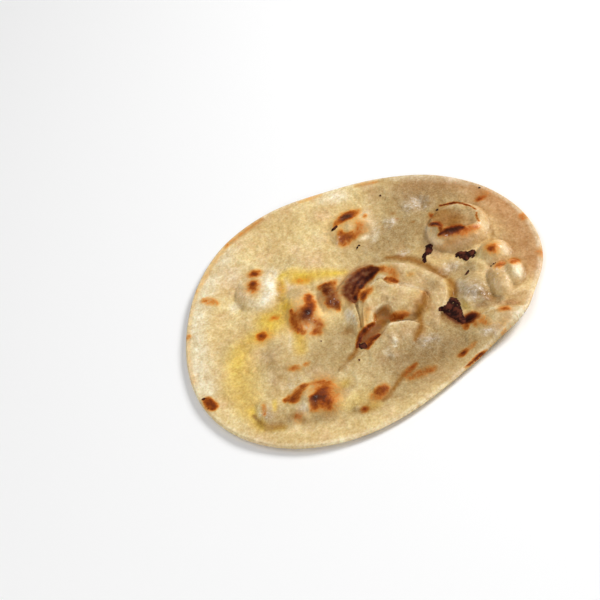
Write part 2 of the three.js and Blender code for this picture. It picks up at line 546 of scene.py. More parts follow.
    def texture(self, x: Array, y: Array) -> Array:
        """The small lumps and pits of baked dough, which fade out at the rim."""
        height = sum(layer.rise(x, y) for layer in (self.swells, self.lumps, self.pits))
        return height * (1.0 - ease(self.outline.share(x, y), self.rim_thins_from, 1.0))

    def top(self, x: Array, y: Array) -> Array:
        """The height of the blistered side.

        Args:
            x: Places across.
            y: Places along.

        Returns:
            The height at each place, before the crust's texture.
        """
        under = self.underside(x, y)
        share = self.outline.share(x, y)
        rim = ease(share, self.rim_thins_from, 1.0)
        thick = self.thickness + rim * (self.rim_thickness - self.thickness)
        top = under + thick + self.relief(x, y)
        distance, width, _ = nearest_on(self.slot.run, x, y)
        floor = under + self.slot.floor + self.slot.climb * np.maximum(y - self.slot.low_end, 0.0)
        return floor + (top - floor) * ease(distance, width - self.slot.wall, width)

    def rim_rounding(self, x: Array, y: Array) -> Array:
        """The share of the rim's half thickness that is left, from 0 at the very edge to 1 inside it."""
        inside = np.clip((1.0 - self.outline.share(x, y)) * np.hypot(x, y) / self.rim_round, 0.0, 1.0)
        return (1.0 - (1.0 - inside) ** self.rim_squareness) ** (1.0 / self.rim_squareness)


@dataclass(frozen=True)
class Sight:
    """The photograph's line of sight, which places what is read off it on the bread."""

    elevation: float = 46.0
    roll: float = 22.0
    distance: float = 725.0
    lens: float = 85.0
    target: Place = (-28.77, 13.83)

    @property
    def eye(self) -> Vector:
        """Where the camera stands.

        Returns:
            The place, measured from the outline's centre.
        """
        lift = math.radians(self.elevation)
        back = Vector((0.0, -math.cos(lift), math.sin(lift)))
        return Vector((*self.target, 0.0)) + back * self.distance

    def on_table(self, x: Array, y: Array, z: Array) -> tuple[Array, Array]:
        """Where a point of the bread shows on the table.

        Args:
            x: Places across.
            y: Places along.
            z: Heights.

        Returns:
            The two places on the table.
        """
        eye = self.eye
        spread = eye.z / (eye.z - z)
        return eye.x + (x - eye.x) * spread, eye.y + (y - eye.y) * spread


class Tone(Enum):
    """What a mark on the bread is; some kinds also carry painted highlights, shade and sheen."""

    TOAST = "toast"
    CHAR = "char"
    BUTTER = "butter"
    PALE_AND_HIGHLIGHT = "pale"
    DULL_AND_SHADE = "dull"
    TAN = "tan"
    HONEY_AND_SHADE = "honey"
    SINGE = "singe"
    GLOSS_AND_SHEEN = "gloss"
    BARE = "bare"


@dataclass(frozen=True)
class Blot:
    """A round mark: where it shows on the table, half sizes, strength, turn and how soft its edge is."""

    tone: Tone
    at: Place
    reach: Place
    depth: float
    turn: float = 0.0
    soft: float = 1.0

    def cover(self, u: Array, v: Array) -> Array:
        """The mark's strength at each place on the table."""
        along, across = in_half_sizes(u, v, self.at, self.reach, self.turn)
        return self.depth * fade(np.hypot(along, across), self.soft)


@dataclass(frozen=True)
class Streak:
    """A long mark along a route of x, y and half width, with its strength and how soft its edge is."""

    tone: Tone
    route: Route
    depth: float
    soft: float = 1.0

    def cover(self, u: Array, v: Array) -> Array:
        """The mark's strength at each place on the table."""
        distance, width, _ = nearest_on(smooth_route(self.route, STREAK_STEPS), u, v)
        return self.depth * fade(distance / width, self.soft)


TOAST, CHAR, BUTTER, PALE_AND_HIGHLIGHT, DULL_AND_SHADE = Tone.TOAST, Tone.CHAR, Tone.BUTTER, Tone.PALE_AND_HIGHLIGHT, Tone.DULL_AND_SHADE
TAN, HONEY_AND_SHADE, SINGE, GLOSS_AND_SHEEN, BARE = Tone.TAN, Tone.HONEY_AND_SHADE, Tone.SINGE, Tone.GLOSS_AND_SHEEN, Tone.BARE

# Marks of the left dome: pale blots are painted highlight and light, the dull line painted shade
DOME_MARKS = (
    Blot(TOAST, (-47.4, 41.6), (5.0, 5.2), 0.14),
    Blot(TOAST, (-47.0, 42.4), (3.2, 3.4), 0.42),
    Blot(TOAST, (-46.4, 43.0), (1.9, 2.1), 0.3),
    Blot(SINGE, (-47.8, 41.2), (2.8, 2.8), 0.2),
    Blot(TOAST, (-47.4, 38.8), (2.6, 2.2), 0.13),
    Blot(TOAST, (-44.2, 50.0), (4.0, 2.4), 0.46, -20.0),
    Blot(TOAST, (-44.8, 50.4), (1.9, 1.6), 0.5),
    Blot(PALE_AND_HIGHLIGHT, (-38.8, 36.6), (6.2, 11.5), 1.0, -8.0),
    Blot(PALE_AND_HIGHLIGHT, (-45.0, 27.6), (6.0, 4.6), 0.8, 15.0),
    Blot(PALE_AND_HIGHLIGHT, (-51.4, 31.4), (3.0, 3.0), 0.45),
    Blot(PALE_AND_HIGHLIGHT, (-53.0, 39.0), (4.0, 7.0), 0.3),
    Streak(DULL_AND_SHADE, ((-57.4, 42.4, 0.8), (-58.2, 36.6, 1.1), (-57.2, 31.4, 1.2), (-55.0, 27.2, 1.1)), 0.45),
)
# Marks of the scorched ring
RING_MARKS = (
    Blot(TOAST, (11.4, 56.0), (11.0, 12.0), 0.1),
    Blot(TOAST, (12.4, 64.2), (4.8, 3.3), 0.66, -10.0),
    Blot(TOAST, (13.2, 64.0), (3.2, 2.4), 0.62),
    Blot(TOAST, (16.8, 64.8), (3.6, 2.4), 0.3),
    Streak(TOAST, ((9.6, 64.6, 2.0), (7.0, 62.8, 2.2), (4.8, 60.8, 1.2)), 0.36),
    Streak(TOAST, ((16.6, 60.0, 1.8), (17.8, 55.6, 2.4), (17.8, 50.8, 2.6), (14.6, 48.0, 2.4)), 0.08),
    Blot(TOAST, (7.6, 50.6), (4.2, 5.4), 0.32, -15.0),
    Blot(TOAST, (6.6, 50.0), (2.6, 2.4), 0.36),
    Blot(TOAST, (9.8, 48.8), (3.6, 2.6), 0.3),
    Blot(TOAST, (15.4, 52.4), (2.2, 4.2), 0.2, -15.0),
    Blot(TOAST, (4.8, 46.2), (2.6, 2.8), 0.26),
    Blot(TOAST, (5.8, 54.4), (1.8, 2.2), 0.2),
    Blot(BARE, (10.9, 55.6), (3.2, 3.4), 0.9, 0.0, 0.6),
    Streak(CHAR, ((2.3, 58.5, 0.9), (5.4, 59.9, 0.9)), 0.95),
    Streak(CHAR, ((10.0, 38.4, 0.7), (11.7, 40.6, 0.8)), 0.9),
    Blot(PALE_AND_HIGHLIGHT, (21.6, 59.2), (3.8, 3.8), 0.5),
    Blot(TOAST, (21.6, 59.2), (1.6, 1.6), 0.4),
    Streak(PALE_AND_HIGHLIGHT, ((23.1, 54.3, 2.2), (23.1, 46.1, 2.4), (20.4, 39.8, 2.0)), 0.35),
    Blot(PALE_AND_HIGHLIGHT, (16.2, 44.4), (3.0, 2.0), 0.8),
)
# Marks left of the tear
LEFT_OF_TEAR_MARKS = (
    Blot(TOAST, (-28.0, 8.0), (9.0, 13.0), 0.14),
    Blot(SINGE, (-27.0, 9.2), (4.4, 5.4), 0.82),
    Blot(TOAST, (-24.8, 11.4), (3.0, 3.8), 0.46),
    Blot(TOAST, (-26.4, 9.2), (2.2, 2.6), 0.22),
    Blot(SINGE, (-30.8, 9.4), (3.2, 6.0), 0.3),
    Blot(SINGE, (-28.2, 1.4), (3.6, 4.0), 0.16),
    Blot(TOAST, (-22.3, 13.8), (2.4, 3.0), 0.54),
    Blot(TOAST, (-23.0, 19.4), (2.4, 2.8), 0.54),
    Blot(TOAST, (-23.8, 16.8), (2.0, 2.4), 0.36),
    Streak(
        TOAST,
        ((-33.2, 15.2, 1.2), (-34.1, 10.4, 1.7), (-34.4, 5.8, 2.5), (-33.9, 1.6, 2.6), (-32.2, -1.2, 1.8)),
        0.38,
    ),
    Blot(SINGE, (-23.4, -0.8), (3.2, 5.0), 0.42),
    Blot(TOAST, (-23.0, 0.6), (2.6, 3.4), 0.2),
    Blot(TOAST, (-26.0, -4.6), (2.8, 2.2), 0.42),
    Blot(TOAST, (-24.2, -6.8), (2.0, 1.8), 0.18),
    Blot(PALE_AND_HIGHLIGHT, (-28.0, 1.0), (3.0, 3.2), 0.35),
    Blot(TOAST, (-11.8, 14.0), (5.4, 11.6), 0.1, -6.0),
    Streak(
        SINGE,
        ((-11.9, 20.8, 3.8), (-11.7, 16.0, 4.2), (-11.9, 10.4, 3.7), (-11.5, 6.2, 2.4)),
        0.84,
        0.8,
    ),
    Streak(TOAST, ((-16.0, 22.8, 1.4), (-12.0, 23.4, 1.3), (-7.4, 22.8, 1.8)), 0.34),
    Blot(TOAST, (-14.8, 10.6), (1.5, 3.4), 0.26),
    Streak(TOAST, ((-10.8, 9.0, 1.2), (-10.6, 5.6, 1.8), (-11.0, 2.8, 1.2)), 0.26),
    Blot(TOAST, (-13.8, 19.0), (1.5, 2.4), 0.2),
    Blot(HONEY_AND_SHADE, (-10.8, -12.2), (3.2, 2.8), 0.75),
)
# Marks of the torn blister; painted highlights on its crests, painted shade in its creases and pocket
TEAR_MARKS = (
    Streak(
        SINGE,
        (
            (-2.0, 5.0, 2.0), (-2.4, 10.0, 4.4), (-1.2, 14.2, 6.2), (2.2, 17.0, 7.0), (6.6, 19.2, 7.0),
            (11.0, 20.2, 5.4), (14.8, 19.4, 2.2),
        ),
        0.97,
        0.6,
    ),
    Streak(
        TOAST,
        ((13.4, 17.2, 1.4), (10.2, 16.2, 1.9), (5.8, 13.8, 1.5), (2.4, 10.4, 1.5), (-0.6, 6.4, 1.6)),
        0.5,
    ),
    Streak(TOAST, ((4.0, 21.6, 1.6), (8.0, 23.0, 1.8), (12.4, 22.4, 1.8)), 0.2),
    Blot(SINGE, (-4.6, 5.2), (2.4, 4.4), 0.5),
    Streak(BARE, ((-3.0, 11.4, 0.9), (0.8, 16.6, 1.1), (5.4, 20.4, 1.0)), 0.3),
    Streak(TOAST, ((-1.4, 10.4, 0.9), (2.0, 15.2, 1.0), (7.4, 18.6, 1.0)), 0.26),
    Blot(TOAST, (16.2, 18.6), (2.6, 2.6), 0.34),
    Blot(TOAST, (18.8, 17.4), (3.2, 2.4), 0.2),
    Blot(TOAST, (20.6, 15.4), (3.8, 3.2), 0.24),
    Blot(PALE_AND_HIGHLIGHT, (20.6, 16.6), (3.0, 2.0), 0.35),
    Streak(TOAST, ((17.4, 10.8, 1.0), (19.2, 8.8, 2.0), (21.4, 6.6, 1.3)), 0.52),
    # Painted shade beside the pleat's edge and in a small step of the flap
    Streak(HONEY_AND_SHADE, ((21.2, 6.2, 0.8), (23.2, 4.4, 0.9), (26.0, 2.0, 0.6)), 0.5),
    Streak(HONEY_AND_SHADE, ((13.6, -0.8, 0.5), (13.2, -3.0, 0.8), (12.7, -5.6, 0.6)), 0.4),
    Blot(TOAST, (31.0, -7.2), (1.5, 1.8), 0.1),
    Blot(TOAST, (21.4, 10.8), (3.0, 2.8), 0.22),
    Blot(TOAST, (29.4, 7.7), (1.8, 1.8), 0.14),
    Blot(PALE_AND_HIGHLIGHT, (-7.0, 12.6), (1.8, 3.4), 0.42),
    Blot(SINGE, (-6.8, 12.4), (2.0, 4.0), 0.04),
    Blot(TOAST, (5.6, 7.4), (4.0, 2.6), 0.46, 40.0),
    Blot(TOAST, (2.9, 5.4), (2.0, 2.8), 0.5, -20.0),
    Blot(SINGE, (1.6, 3.6), (1.9, 4.4), 0.4, -15.0),
    # Painted highlight along the flap's crest
    Streak(
        PALE_AND_HIGHLIGHT,
        (
            (8.3, 10.8, 0.7), (12.9, 13.9, 0.8), (16.4, 13.0, 0.8), (18.9, 7.3, 0.8), (22.3, 4.1, 0.8),
            (26.5, 0.5, 0.9), (32.1, -5.4, 0.8),
        ),
        0.5,
    ),
    # Painted shade in the pocket at the flap's right end
    Streak(
        HONEY_AND_SHADE,
        ((31.6, -8.4, 1.6), (29.4, -12.2, 3.4), (26.4, -15.9, 3.9), (24.2, -19.0, 2.8), (23.6, -23.6, 1.8)),
        1.0,
        0.9,
    ),
    Streak(HONEY_AND_SHADE, ((23.4, -25.8, 1.6), (22.0, -28.8, 3.0), (19.6, -31.8, 3.0), (17.4, -34.4, 1.6)), 1.0),
    # More painted shade in the same pocket
    Streak(TAN, ((31.4, -8.8, 2.4), (27.6, -11.8, 4.6), (25.2, -15.2, 4.8), (23.0, -18.4, 3.4)), 0.5, 0.9),
    Blot(TOAST, (13.2, -15.2), (2.8, 2.6), 0.4),
    Blot(HONEY_AND_SHADE, (19.4, -12.6), (3.0, 2.4), 0.4),
    Blot(TOAST, (16.4, -14.0), (2.8, 1.8), 0.16),
    Blot(HONEY_AND_SHADE, (30.2, -18.4), (3.6, 3.2), 0.5),
    Blot(TAN, (3.6, -3.2), (2.4, 3.0), 0.35),
    Blot(TOAST, (17.2, -16.4), (3.4, 2.0), 0.56),
    Blot(HONEY_AND_SHADE, (21.2, -17.4), (2.6, 2.0), 0.5),
    Streak(TOAST, ((10.9, -16.6, 1.0), (13.1, -17.4, 1.2), (15.8, -17.6, 1.0)), 0.4),
    Streak(HONEY_AND_SHADE, ((9.2, -7.6, 2.8), (8.6, -9.6, 4.4)), 0.42, 0.4),
    Blot(HONEY_AND_SHADE, (5.8, -8.2), (1.7, 2.8), 0.45),
    Streak(HONEY_AND_SHADE, ((9.4, -9.6, 3.0), (8.0, -12.0, 4.6), (6.4, -15.0, 4.2)), 0.7, 0.4),
    Streak(TOAST, ((11.4, -8.2, 2.4), (8.8, -11.2, 3.8), (7.4, -13.6, 3.2)), 0.1, 0.4),
    Streak(TOAST, ((4.6, -8.4, 0.6), (4.0, -11.4, 0.8), (2.6, -14.0, 0.8)), 0.3),
    Streak(HONEY_AND_SHADE, ((5.4, -15.8, 3.2), (2.0, -18.4, 3.2), (-1.4, -19.8, 2.8), (-6.2, -22.0, 2.2)), 1.0, 0.4),
    Streak(
        SINGE,
        ((3.4, -17.2, 2.4), (0.6, -19.0, 3.0), (-2.6, -20.6, 2.8), (-6.0, -22.4, 2.2)),
        0.42,
        0.5,
    ),
    # Painted shadow under the hole's left lip
    Streak(
        TOAST,
        ((1.2, -14.6, 1.4), (-2.0, -15.4, 1.8), (-5.4, -17.6, 1.6), (-7.8, -21.0, 1.3), (-9.6, -24.2, 1.0)),
        0.66,
    ),
    Streak(TOAST, ((2.0, -22.4, 1.0), (-0.6, -23.5, 1.4), (-3.6, -25.0, 1.8), (-5.4, -26.4, 1.6)), 0.72),
    Blot(HONEY_AND_SHADE, (4.4, -21.0), (3.8, 2.0), 0.7, 25.0),
    Blot(CHAR, (-7.4, -25.2), (2.6, 2.2), 0.85, -20.0),
    # Painted light on the shaded side of a pleat
    Blot(PALE_AND_HIGHLIGHT, (-7.0, -4.4), (2.4, 5.0), 0.4),
    # Faint painted shade lines down the flap's left pleats
    Streak(TOAST, ((1.8, -4.0, 2.0), (0.6, -7.0, 2.2), (-3.6, -12.4, 2.2)), 0.1),
    Streak(HONEY_AND_SHADE, ((2.6, -3.8, 1.6), (0.0, -6.6, 2.0), (-1.8, -9.4, 1.6)), 0.2),
    Blot(HONEY_AND_SHADE, (-8.8, -15.6), (2.6, 2.6), 0.3),
    # Painted highlights on the lower lip's ridge and on a small knob
    Blot(PALE_AND_HIGHLIGHT, (9.0, -28.0), (1.4, 4.0), 0.25, -15.0),
    Streak(PALE_AND_HIGHLIGHT, ((8.8, -28.4, 0.9), (8.0, -30.4, 1.4), (7.0, -33.0, 1.2)), 0.4),
    Blot(PALE_AND_HIGHLIGHT, (2.7, -34.0), (2.6, 2.0), 0.3),
    Blot(PALE_AND_HIGHLIGHT, (2.8, -36.8), (2.6, 1.2), 0.4, -45.0),
    Streak(PALE_AND_HIGHLIGHT, ((9.7, -18.9, 0.7), (12.9, -18.8, 0.9), (16.2, -19.4, 1.0), (20.8, -22.6, 0.8)), 0.3),
    # Painted shadow along the crease that runs down to the left from the hole
    Streak(HONEY_AND_SHADE, ((-9.6, -24.6, 1.6), (-11.4, -26.6, 1.8), (-15.0, -29.6, 1.8)), 0.95),
    Streak(HONEY_AND_SHADE, ((-14.6, -29.4, 1.6), (-18.2, -31.6, 1.5), (-22.5, -33.4, 1.0)), 0.5),
)
# Marks of the burst blister; painted light on its left flank, a painted highlight on its right, painted shade
# in front
BURST_MARKS = (
    Blot(HONEY_AND_SHADE, (58.6, 36.0), (9.6, 8.0), 0.8, -32.0, 0.4),
    Blot(HONEY_AND_SHADE, (60.6, 31.0), (5.4, 4.0), 0.7),
    Blot(SINGE, (60.0, 34.0), (6.4, 4.8), 0.11),
    Blot(TAN, (65.4, 29.8), (6.6, 7.4), 0.5, -32.0, 0.6),
    Blot(HONEY_AND_SHADE, (66.0, 28.0), (8.0, 5.0), 0.4, -32.0, 0.5),
    # Painted shade on the near face
    Blot(TAN, (62.0, 16.0), (14.0, 8.0), 0.8),
    Blot(TAN, (70.0, 23.8), (3.0, 3.0), 0.5),
    Streak(
        TOAST,
        ((59.2, 45.4, 0.6), (63.7, 44.6, 0.7), (67.5, 43.0, 0.6), (71.6, 39.2, 0.4), (74.6, 33.7, 0.3)),
        0.8,
    ),
    Streak(TOAST, ((74.0, 31.0, 0.4), (73.4, 27.2, 0.5), (73.1, 23.9, 0.4)), 0.5),
    # Painted light on the shaded left flank
    Streak(PALE_AND_HIGHLIGHT, ((49.4, 35.6, 1.4), (47.9, 29.4, 2.2), (48.6, 23.4, 2.4), (50.8, 20.4, 1.8)), 0.8),
    Streak(TOAST, ((48.6, 31.0, 2.0), (48.4, 25.0, 2.4), (51.4, 20.0, 2.4), (56.0, 17.4, 2.2)), 0.07),
    Blot(DULL_AND_SHADE, (65.6, 14.4), (5.0, 2.6), 0.4, -20.0),
    Blot(TOAST, (50.8, 35.4), (2.0, 1.5), 0.4, -25.0),
    Blot(TOAST, (52.4, 34.0), (2.6, 1.9), 0.86, -25.0),
    Streak(TOAST, ((53.6, 33.4, 1.3), (54.5, 31.4, 1.4), (53.3, 28.6, 1.1)), 0.42),
    Streak(
        TOAST,
        ((52.2, 26.0, 1.1), (55.9, 27.0, 1.9), (58.8, 26.2, 2.6), (61.8, 25.4, 2.4), (63.8, 24.2, 1.4)),
        0.8,
    ),
    Blot(SINGE, (58.2, 24.8), (5.2, 2.2), 0.4, -10.0),
    Blot(TOAST, (55.0, 24.4), (4.4, 2.2), 0.2, -5.0),
    Blot(TOAST, (60.8, 23.0), (4.6, 2.4), 0.24, -14.0),
    Streak(TOAST, ((64.4, 23.6, 1.9), (67.4, 21.8, 2.3), (71.0, 20.5, 1.9)), 0.26),
    Blot(TOAST, (62.0, 21.4), (9.0, 3.4), 0.16, -14.0),
    Blot(CHAR, (56.8, 43.3), (1.2, 1.1), 0.8),
    Blot(TOAST, (52.8, 41.4), (1.2, 2.2), 0.34),
    Blot(BARE, (51.4, 30.6), (1.4, 2.2), 0.8),
    # Painted highlight on the right side
    Blot(PALE_AND_HIGHLIGHT, (75.2, 18.4), (2.2, 4.4), 0.25),
    Streak(HONEY_AND_SHADE, ((77.1, 17.6, 0.9), (76.2, 12.0, 1.1), (74.3, 8.5, 0.9)), 0.55),
)
# Marks of the bubbles by the right edge; painted highlights on their flanks, painted shade round their feet
BUBBLE_MARKS = (
    Blot(TOAST, (71.8, 3.0), (1.8, 1.7), 0.6, 20.0),
    Blot(TOAST, (72.2, 3.8), (4.2, 4.4), 0.26),
    Blot(TOAST, (72.6, -1.0), (3.0, 3.0), 0.08),
    Blot(TOAST, (78.6, -10.4), (3.2, 2.2), 0.4, -25.0),
    Blot(TOAST, (71.5, -9.6), (2.8, 2.2), 0.52),
    # Painted highlights on the bubbles' lit sides, and painted light on a shaded flank
    Blot(PALE_AND_HIGHLIGHT, (78.0, -18.0), (2.6, 5.6), 1.0),
    Blot(PALE_AND_HIGHLIGHT, (78.4, -1.0), (2.2, 5.0), 0.35),
    Blot(PALE_AND_HIGHLIGHT, (48.8, -12.2), (2.2, 4.6), 0.8),
    # Painted shade round the right feet of the bubbles
    Streak(HONEY_AND_SHADE, ((83.4, 1.9, 1.4), (82.0, -3.8, 2.0), (80.2, -7.3, 1.5)), 0.3),
    Streak(HONEY_AND_SHADE, ((82.4, -15.4, 1.2), (80.5, -20.7, 1.7), (76.6, -25.9, 1.8), (72.2, -27.3, 1.3)), 0.4),
    Streak(CHAR, ((54.0, -7.0, 0.9), (56.4, -5.4, 0.8)), 0.85),
    Streak(CHAR, ((66.7, -8.0, 0.4), (70.4, -6.7, 0.45)), 0.7),
    Streak(HONEY_AND_SHADE, ((66.0, 9.4, 0.6), (69.4, 10.2, 0.8), (73.0, 10.4, 0.7)), 0.6),
    Blot(TOAST, (67.6, -15.6), (3.4, 8.0), 0.06),
    # Painted shade in the valley between two bubbles
    Streak(DULL_AND_SHADE, ((57.4, -20.0, 2.4), (58.2, -25.6, 3.2), (60.8, -28.4, 3.0), (64.0, -30.0, 2.0)), 1.0),
    Streak(HONEY_AND_SHADE, ((57.6, -22.0, 1.8), (58.4, -26.0, 2.2), (60.8, -28.6, 1.8)), 0.6),
)
# Charred scraps baked onto the sheet, what is singed round them, and painted shade beside the long scrap
SCRAP_MARKS = (
    Streak(CHAR, ((55.8, 7.6, 2.2), (58.6, 5.8, 3.2), (61.6, 5.0, 2.8)), 1.0, 0.7),
    Blot(CHAR, (58.0, 2.4), (1.6, 1.6), 1.0, 0.0, 0.7),
    Streak(CHAR, ((44.3, 20.6, 2.0), (42.8, 17.4, 1.9), (40.0, 15.4, 1.3), (38.8, 12.0, 1.0)), 1.0, 0.7),
    Streak(
        CHAR,
        ((42.2, -20.6, 3.0), (41.2, -25.0, 3.6), (41.4, -30.0, 2.8), (42.2, -34.0, 1.8)),
        1.0,
        0.7,
    ),
    Streak(CHAR, ((35.2, -21.8, 1.2), (38.0, -23.8, 2.6), (40.4, -27.0, 3.0)), 1.0, 0.7),
    Streak(CHAR, ((37.0, -24.0, 1.4), (39.4, -27.6, 2.4), (41.6, -31.6, 2.4)), 1.0, 0.7),
    Streak(
        SINGE,
        ((36.6, -25.6, 1.2), (38.0, -29.4, 1.9), (39.6, -32.2, 2.0), (41.4, -34.6, 1.6)),
        0.95,
        0.5,
    ),
    # Painted shade below the long scrap
    Streak(DULL_AND_SHADE, ((34.8, -25.6, 1.6), (35.6, -29.2, 2.6), (37.8, -33.0, 2.8), (39.8, -36.2, 2.0)), 1.0),
    Streak(HONEY_AND_SHADE, ((34.8, -25.6, 1.4), (35.6, -29.2, 2.2), (37.8, -33.0, 2.4), (39.8, -36.2, 1.8)), 0.5),
    Blot(SINGE, (46.0, -34.4), (4.8, 3.4), 0.95, -10.0, 0.6),
    Blot(TOAST, (45.8, -34.4), (3.8, 2.8), 0.5),
    Streak(TOAST, ((43.6, -36.0, 1.8), (42.4, -37.8, 1.7), (41.6, -39.4, 1.2)), 0.42),
    Blot(TOAST, (50.4, -33.8), (2.6, 2.2), 0.06),
    Streak(TOAST, ((-88.0, -19.8, 2.5), (-86.6, -25.0, 3.0)), 0.62, 0.5),
    Blot(CHAR, (-89.0, -18.4), (1.8, 1.5), 0.7),
    Blot(CHAR, (-88.4, -25.8), (1.6, 2.2), 0.45),
)
# Marks of the front left blister, with a painted highlight in its middle
FRONT_LEFT_MARKS = (
    Blot(TOAST, (-32.8, -45.2), (7.2, 10.4), 0.3),
    Blot(TOAST, (-37.4, -43.8), (3.0, 2.8), 0.74),
    Blot(SINGE, (-39.4, -46.0), (2.7, 3.6), 0.6),
    Blot(TOAST, (-34.2, -47.0), (3.2, 5.0), 0.58),
    Blot(TOAST, (-33.6, -42.2), (3.2, 2.8), 0.42),
    Blot(TOAST, (-33.4, -51.6), (3.0, 4.0), 0.28),
    Blot(TOAST, (-31.0, -39.6), (4.4, 3.6), 0.18),
    Blot(TOAST, (-30.0, -45.0), (2.8, 4.2), 0.14),
    Blot(TOAST, (-40.2, -49.2), (2.4, 3.0), 0.44),
    Streak(
        TOAST,
        (
            (-51.8, -39.2, 1.4), (-49.4, -39.2, 2.6), (-47.0, -39.0, 3.0), (-43.9, -36.7, 2.4),
            (-41.0, -35.0, 1.8),
        ),
        0.48,
    ),
    Streak(
        TOAST,
        ((-41.6, -34.8, 1.2), (-37.6, -34.6, 1.3), (-33.4, -36.4, 1.6), (-29.6, -38.6, 1.8)),
        0.2,
    ),
    Blot(TOAST, (-46.6, -40.0), (3.6, 2.6), 0.34, 15.0),
    Blot(BARE, (-43.2, -42.6), (2.4, 4.0), 0.8, 12.0, 0.7),
    # Painted highlight in the blister's middle
    Blot(PALE_AND_HIGHLIGHT, (-45.0, -46.4), (2.6, 4.6), 0.3, 12.0),
    Blot(SINGE, (-48.4, -50.2), (5.0, 3.6), 0.42, -15.0),
    Blot(TOAST, (-33.0, -45.2), (2.8, 2.8), 0.08),
    Blot(TOAST, (-49.0, -50.4), (2.4, 2.2), 0.16),
    Blot(HONEY_AND_SHADE, (-46.6, -55.6), (3.2, 2.4), 0.4),
    Blot(TOAST, (-49.2, -54.0), (2.6, 1.8), 0.1),
    Blot(PALE_AND_HIGHLIGHT, (-65.9, -38.6), (1.4, 3.4), 0.6, -15.0),
    Streak(TOAST, ((-62.7, -36.7, 1.2), (-63.2, -39.0, 1.5), (-63.8, -41.6, 1.2)), 0.2),
    Streak(
        BUTTER,
        ((-69.8, -37.1, 2.4), (-68.0, -44.4, 2.0), (-65.2, -50.4, 2.0), (-57.4, -54.2, 2.2)),
        0.5,
    ),
    Streak(
        HONEY_AND_SHADE,
        ((-69.0, -40.0, 1.2), (-67.5, -44.4, 1.4), (-64.7, -49.9, 2.6), (-57.4, -53.2, 2.6)),
        0.75,
    ),
    Streak(BUTTER, ((-56.9, -37.0, 1.3), (-58.3, -41.7, 1.3)), 0.6),
)
# Toasted places along the rim
RIM_MARKS = (
    Streak(TOAST, ((-30.0, 87.4, 1.0), (-40.0, 84.4, 2.0), (-48.0, 81.0, 1.8), (-54.0, 77.4, 1.2)), 0.15),
    Streak(TAN, ((-30.0, 87.0, 1.4), (-40.0, 84.0, 2.6), (-50.0, 79.4, 2.0)), 0.4),
    Streak(TOAST, ((-52.0, 78.6, 1.4), (-60.0, 72.4, 1.8), (-68.0, 64.0, 1.8), (-76.0, 53.4, 1.4)), 0.09),
    Streak(TOAST, ((-76.0, 53.4, 1.4), (-84.4, 35.0, 1.2), (-90.0, 15.0, 1.2), (-92.0, -6.0, 1.2)), 0.06),
    Streak(TOAST, ((-8.0, 88.8, 1.0), (-2.0, 88.4, 1.6), (5.0, 87.4, 1.0)), 0.1),
    Streak(TOAST, ((24.0, 84.0, 1.0), (30.0, 82.6, 1.6), (36.0, 80.6, 1.0)), 0.12),
    Streak(TAN, ((24.0, 84.0, 1.2), (30.0, 82.0, 2.2), (36.0, 80.0, 1.2)), 0.3),
)
# Marks of the front edge
FRONT_MARKS = (
    Blot(TOAST, (-7.0, -55.2), (3.0, 2.8), 0.6),
    Blot(TOAST, (-9.6, -57.2), (4.4, 3.2), 0.33, 20.0),
    Streak(HONEY_AND_SHADE, ((-2.0, -57.0, 1.4), (-5.0, -59.7, 2.0), (-8.6, -61.2, 1.4)), 0.85),
    Blot(HONEY_AND_SHADE, (-18.6, -62.4), (3.0, 2.6), 0.85),
    Blot(TOAST, (-18.4, -62.8), (2.0, 1.9), 0.42),
    Blot(BUTTER, (-14.0, -63.0), (4.6, 3.0), 0.6),
    Blot(HONEY_AND_SHADE, (-16.8, -63.2), (6.0, 3.0), 0.45),
    Blot(BUTTER, (-22.0, -42.8), (3.4, 3.0), 0.5),
    Streak(
        HONEY_AND_SHADE,
        ((12.8, -49.0, 1.3), (9.1, -50.5, 2.0), (5.3, -52.3, 2.4), (1.6, -54.4, 2.2), (-1.6, -57.2, 1.2)),
        0.95,
    ),
    Streak(TOAST, ((12.8, -49.0, 1.2), (9.1, -50.6, 1.9), (6.0, -52.2, 1.5)), 0.22),
    Streak(TOAST, ((7.6, -55.0, 2.0), (13.6, -54.8, 3.0), (19.0, -55.6, 2.1)), 0.24),
    Blot(TAN, (16.0, -60.0), (14.0, 5.0), 0.3, 20.0),
    Blot(DULL_AND_SHADE, (12.0, -55.0), (4.6, 2.2), 0.35),
    Blot(TOAST, (35.6, -53.0), (2.7, 1.8), 0.74, 28.0),
    Streak(TOAST, ((36.4, -52.6, 1.3), (39.4, -51.4, 1.5), (42.6, -49.8, 1.2)), 0.16),
    Streak(
        TOAST,
        (
            (33.0, -61.8, 0.5), (37.0, -60.0, 0.8), (40.0, -58.6, 0.9), (44.0, -57.6, 0.8),
            (48.4, -56.2, 0.5),
        ),
        0.5,
    ),
    Streak(SINGE, ((34.4, -61.2, 0.3), (38.0, -59.8, 0.5), (42.4, -58.2, 0.5), (46.4, -57.2, 0.3)), 0.5),
    Streak(TOAST, ((48.4, -55.6, 0.8), (54.0, -52.6, 0.8), (59.6, -49.2, 0.8), (64.6, -46.2, 0.5)), 0.24),
    Blot(TOAST, (63.0, -37.0), (3.2, 1.9), 0.46, -20.0),
    Blot(TOAST, (51.2, -39.6), (2.6, 4.6), 0.22, 20.0),
    Blot(TOAST, (46.8, -39.6), (1.7, 2.1), 0.3),
    Blot(TOAST, (58.6, -45.0), (5.0, 3.0), 0.08, 25.0),
)
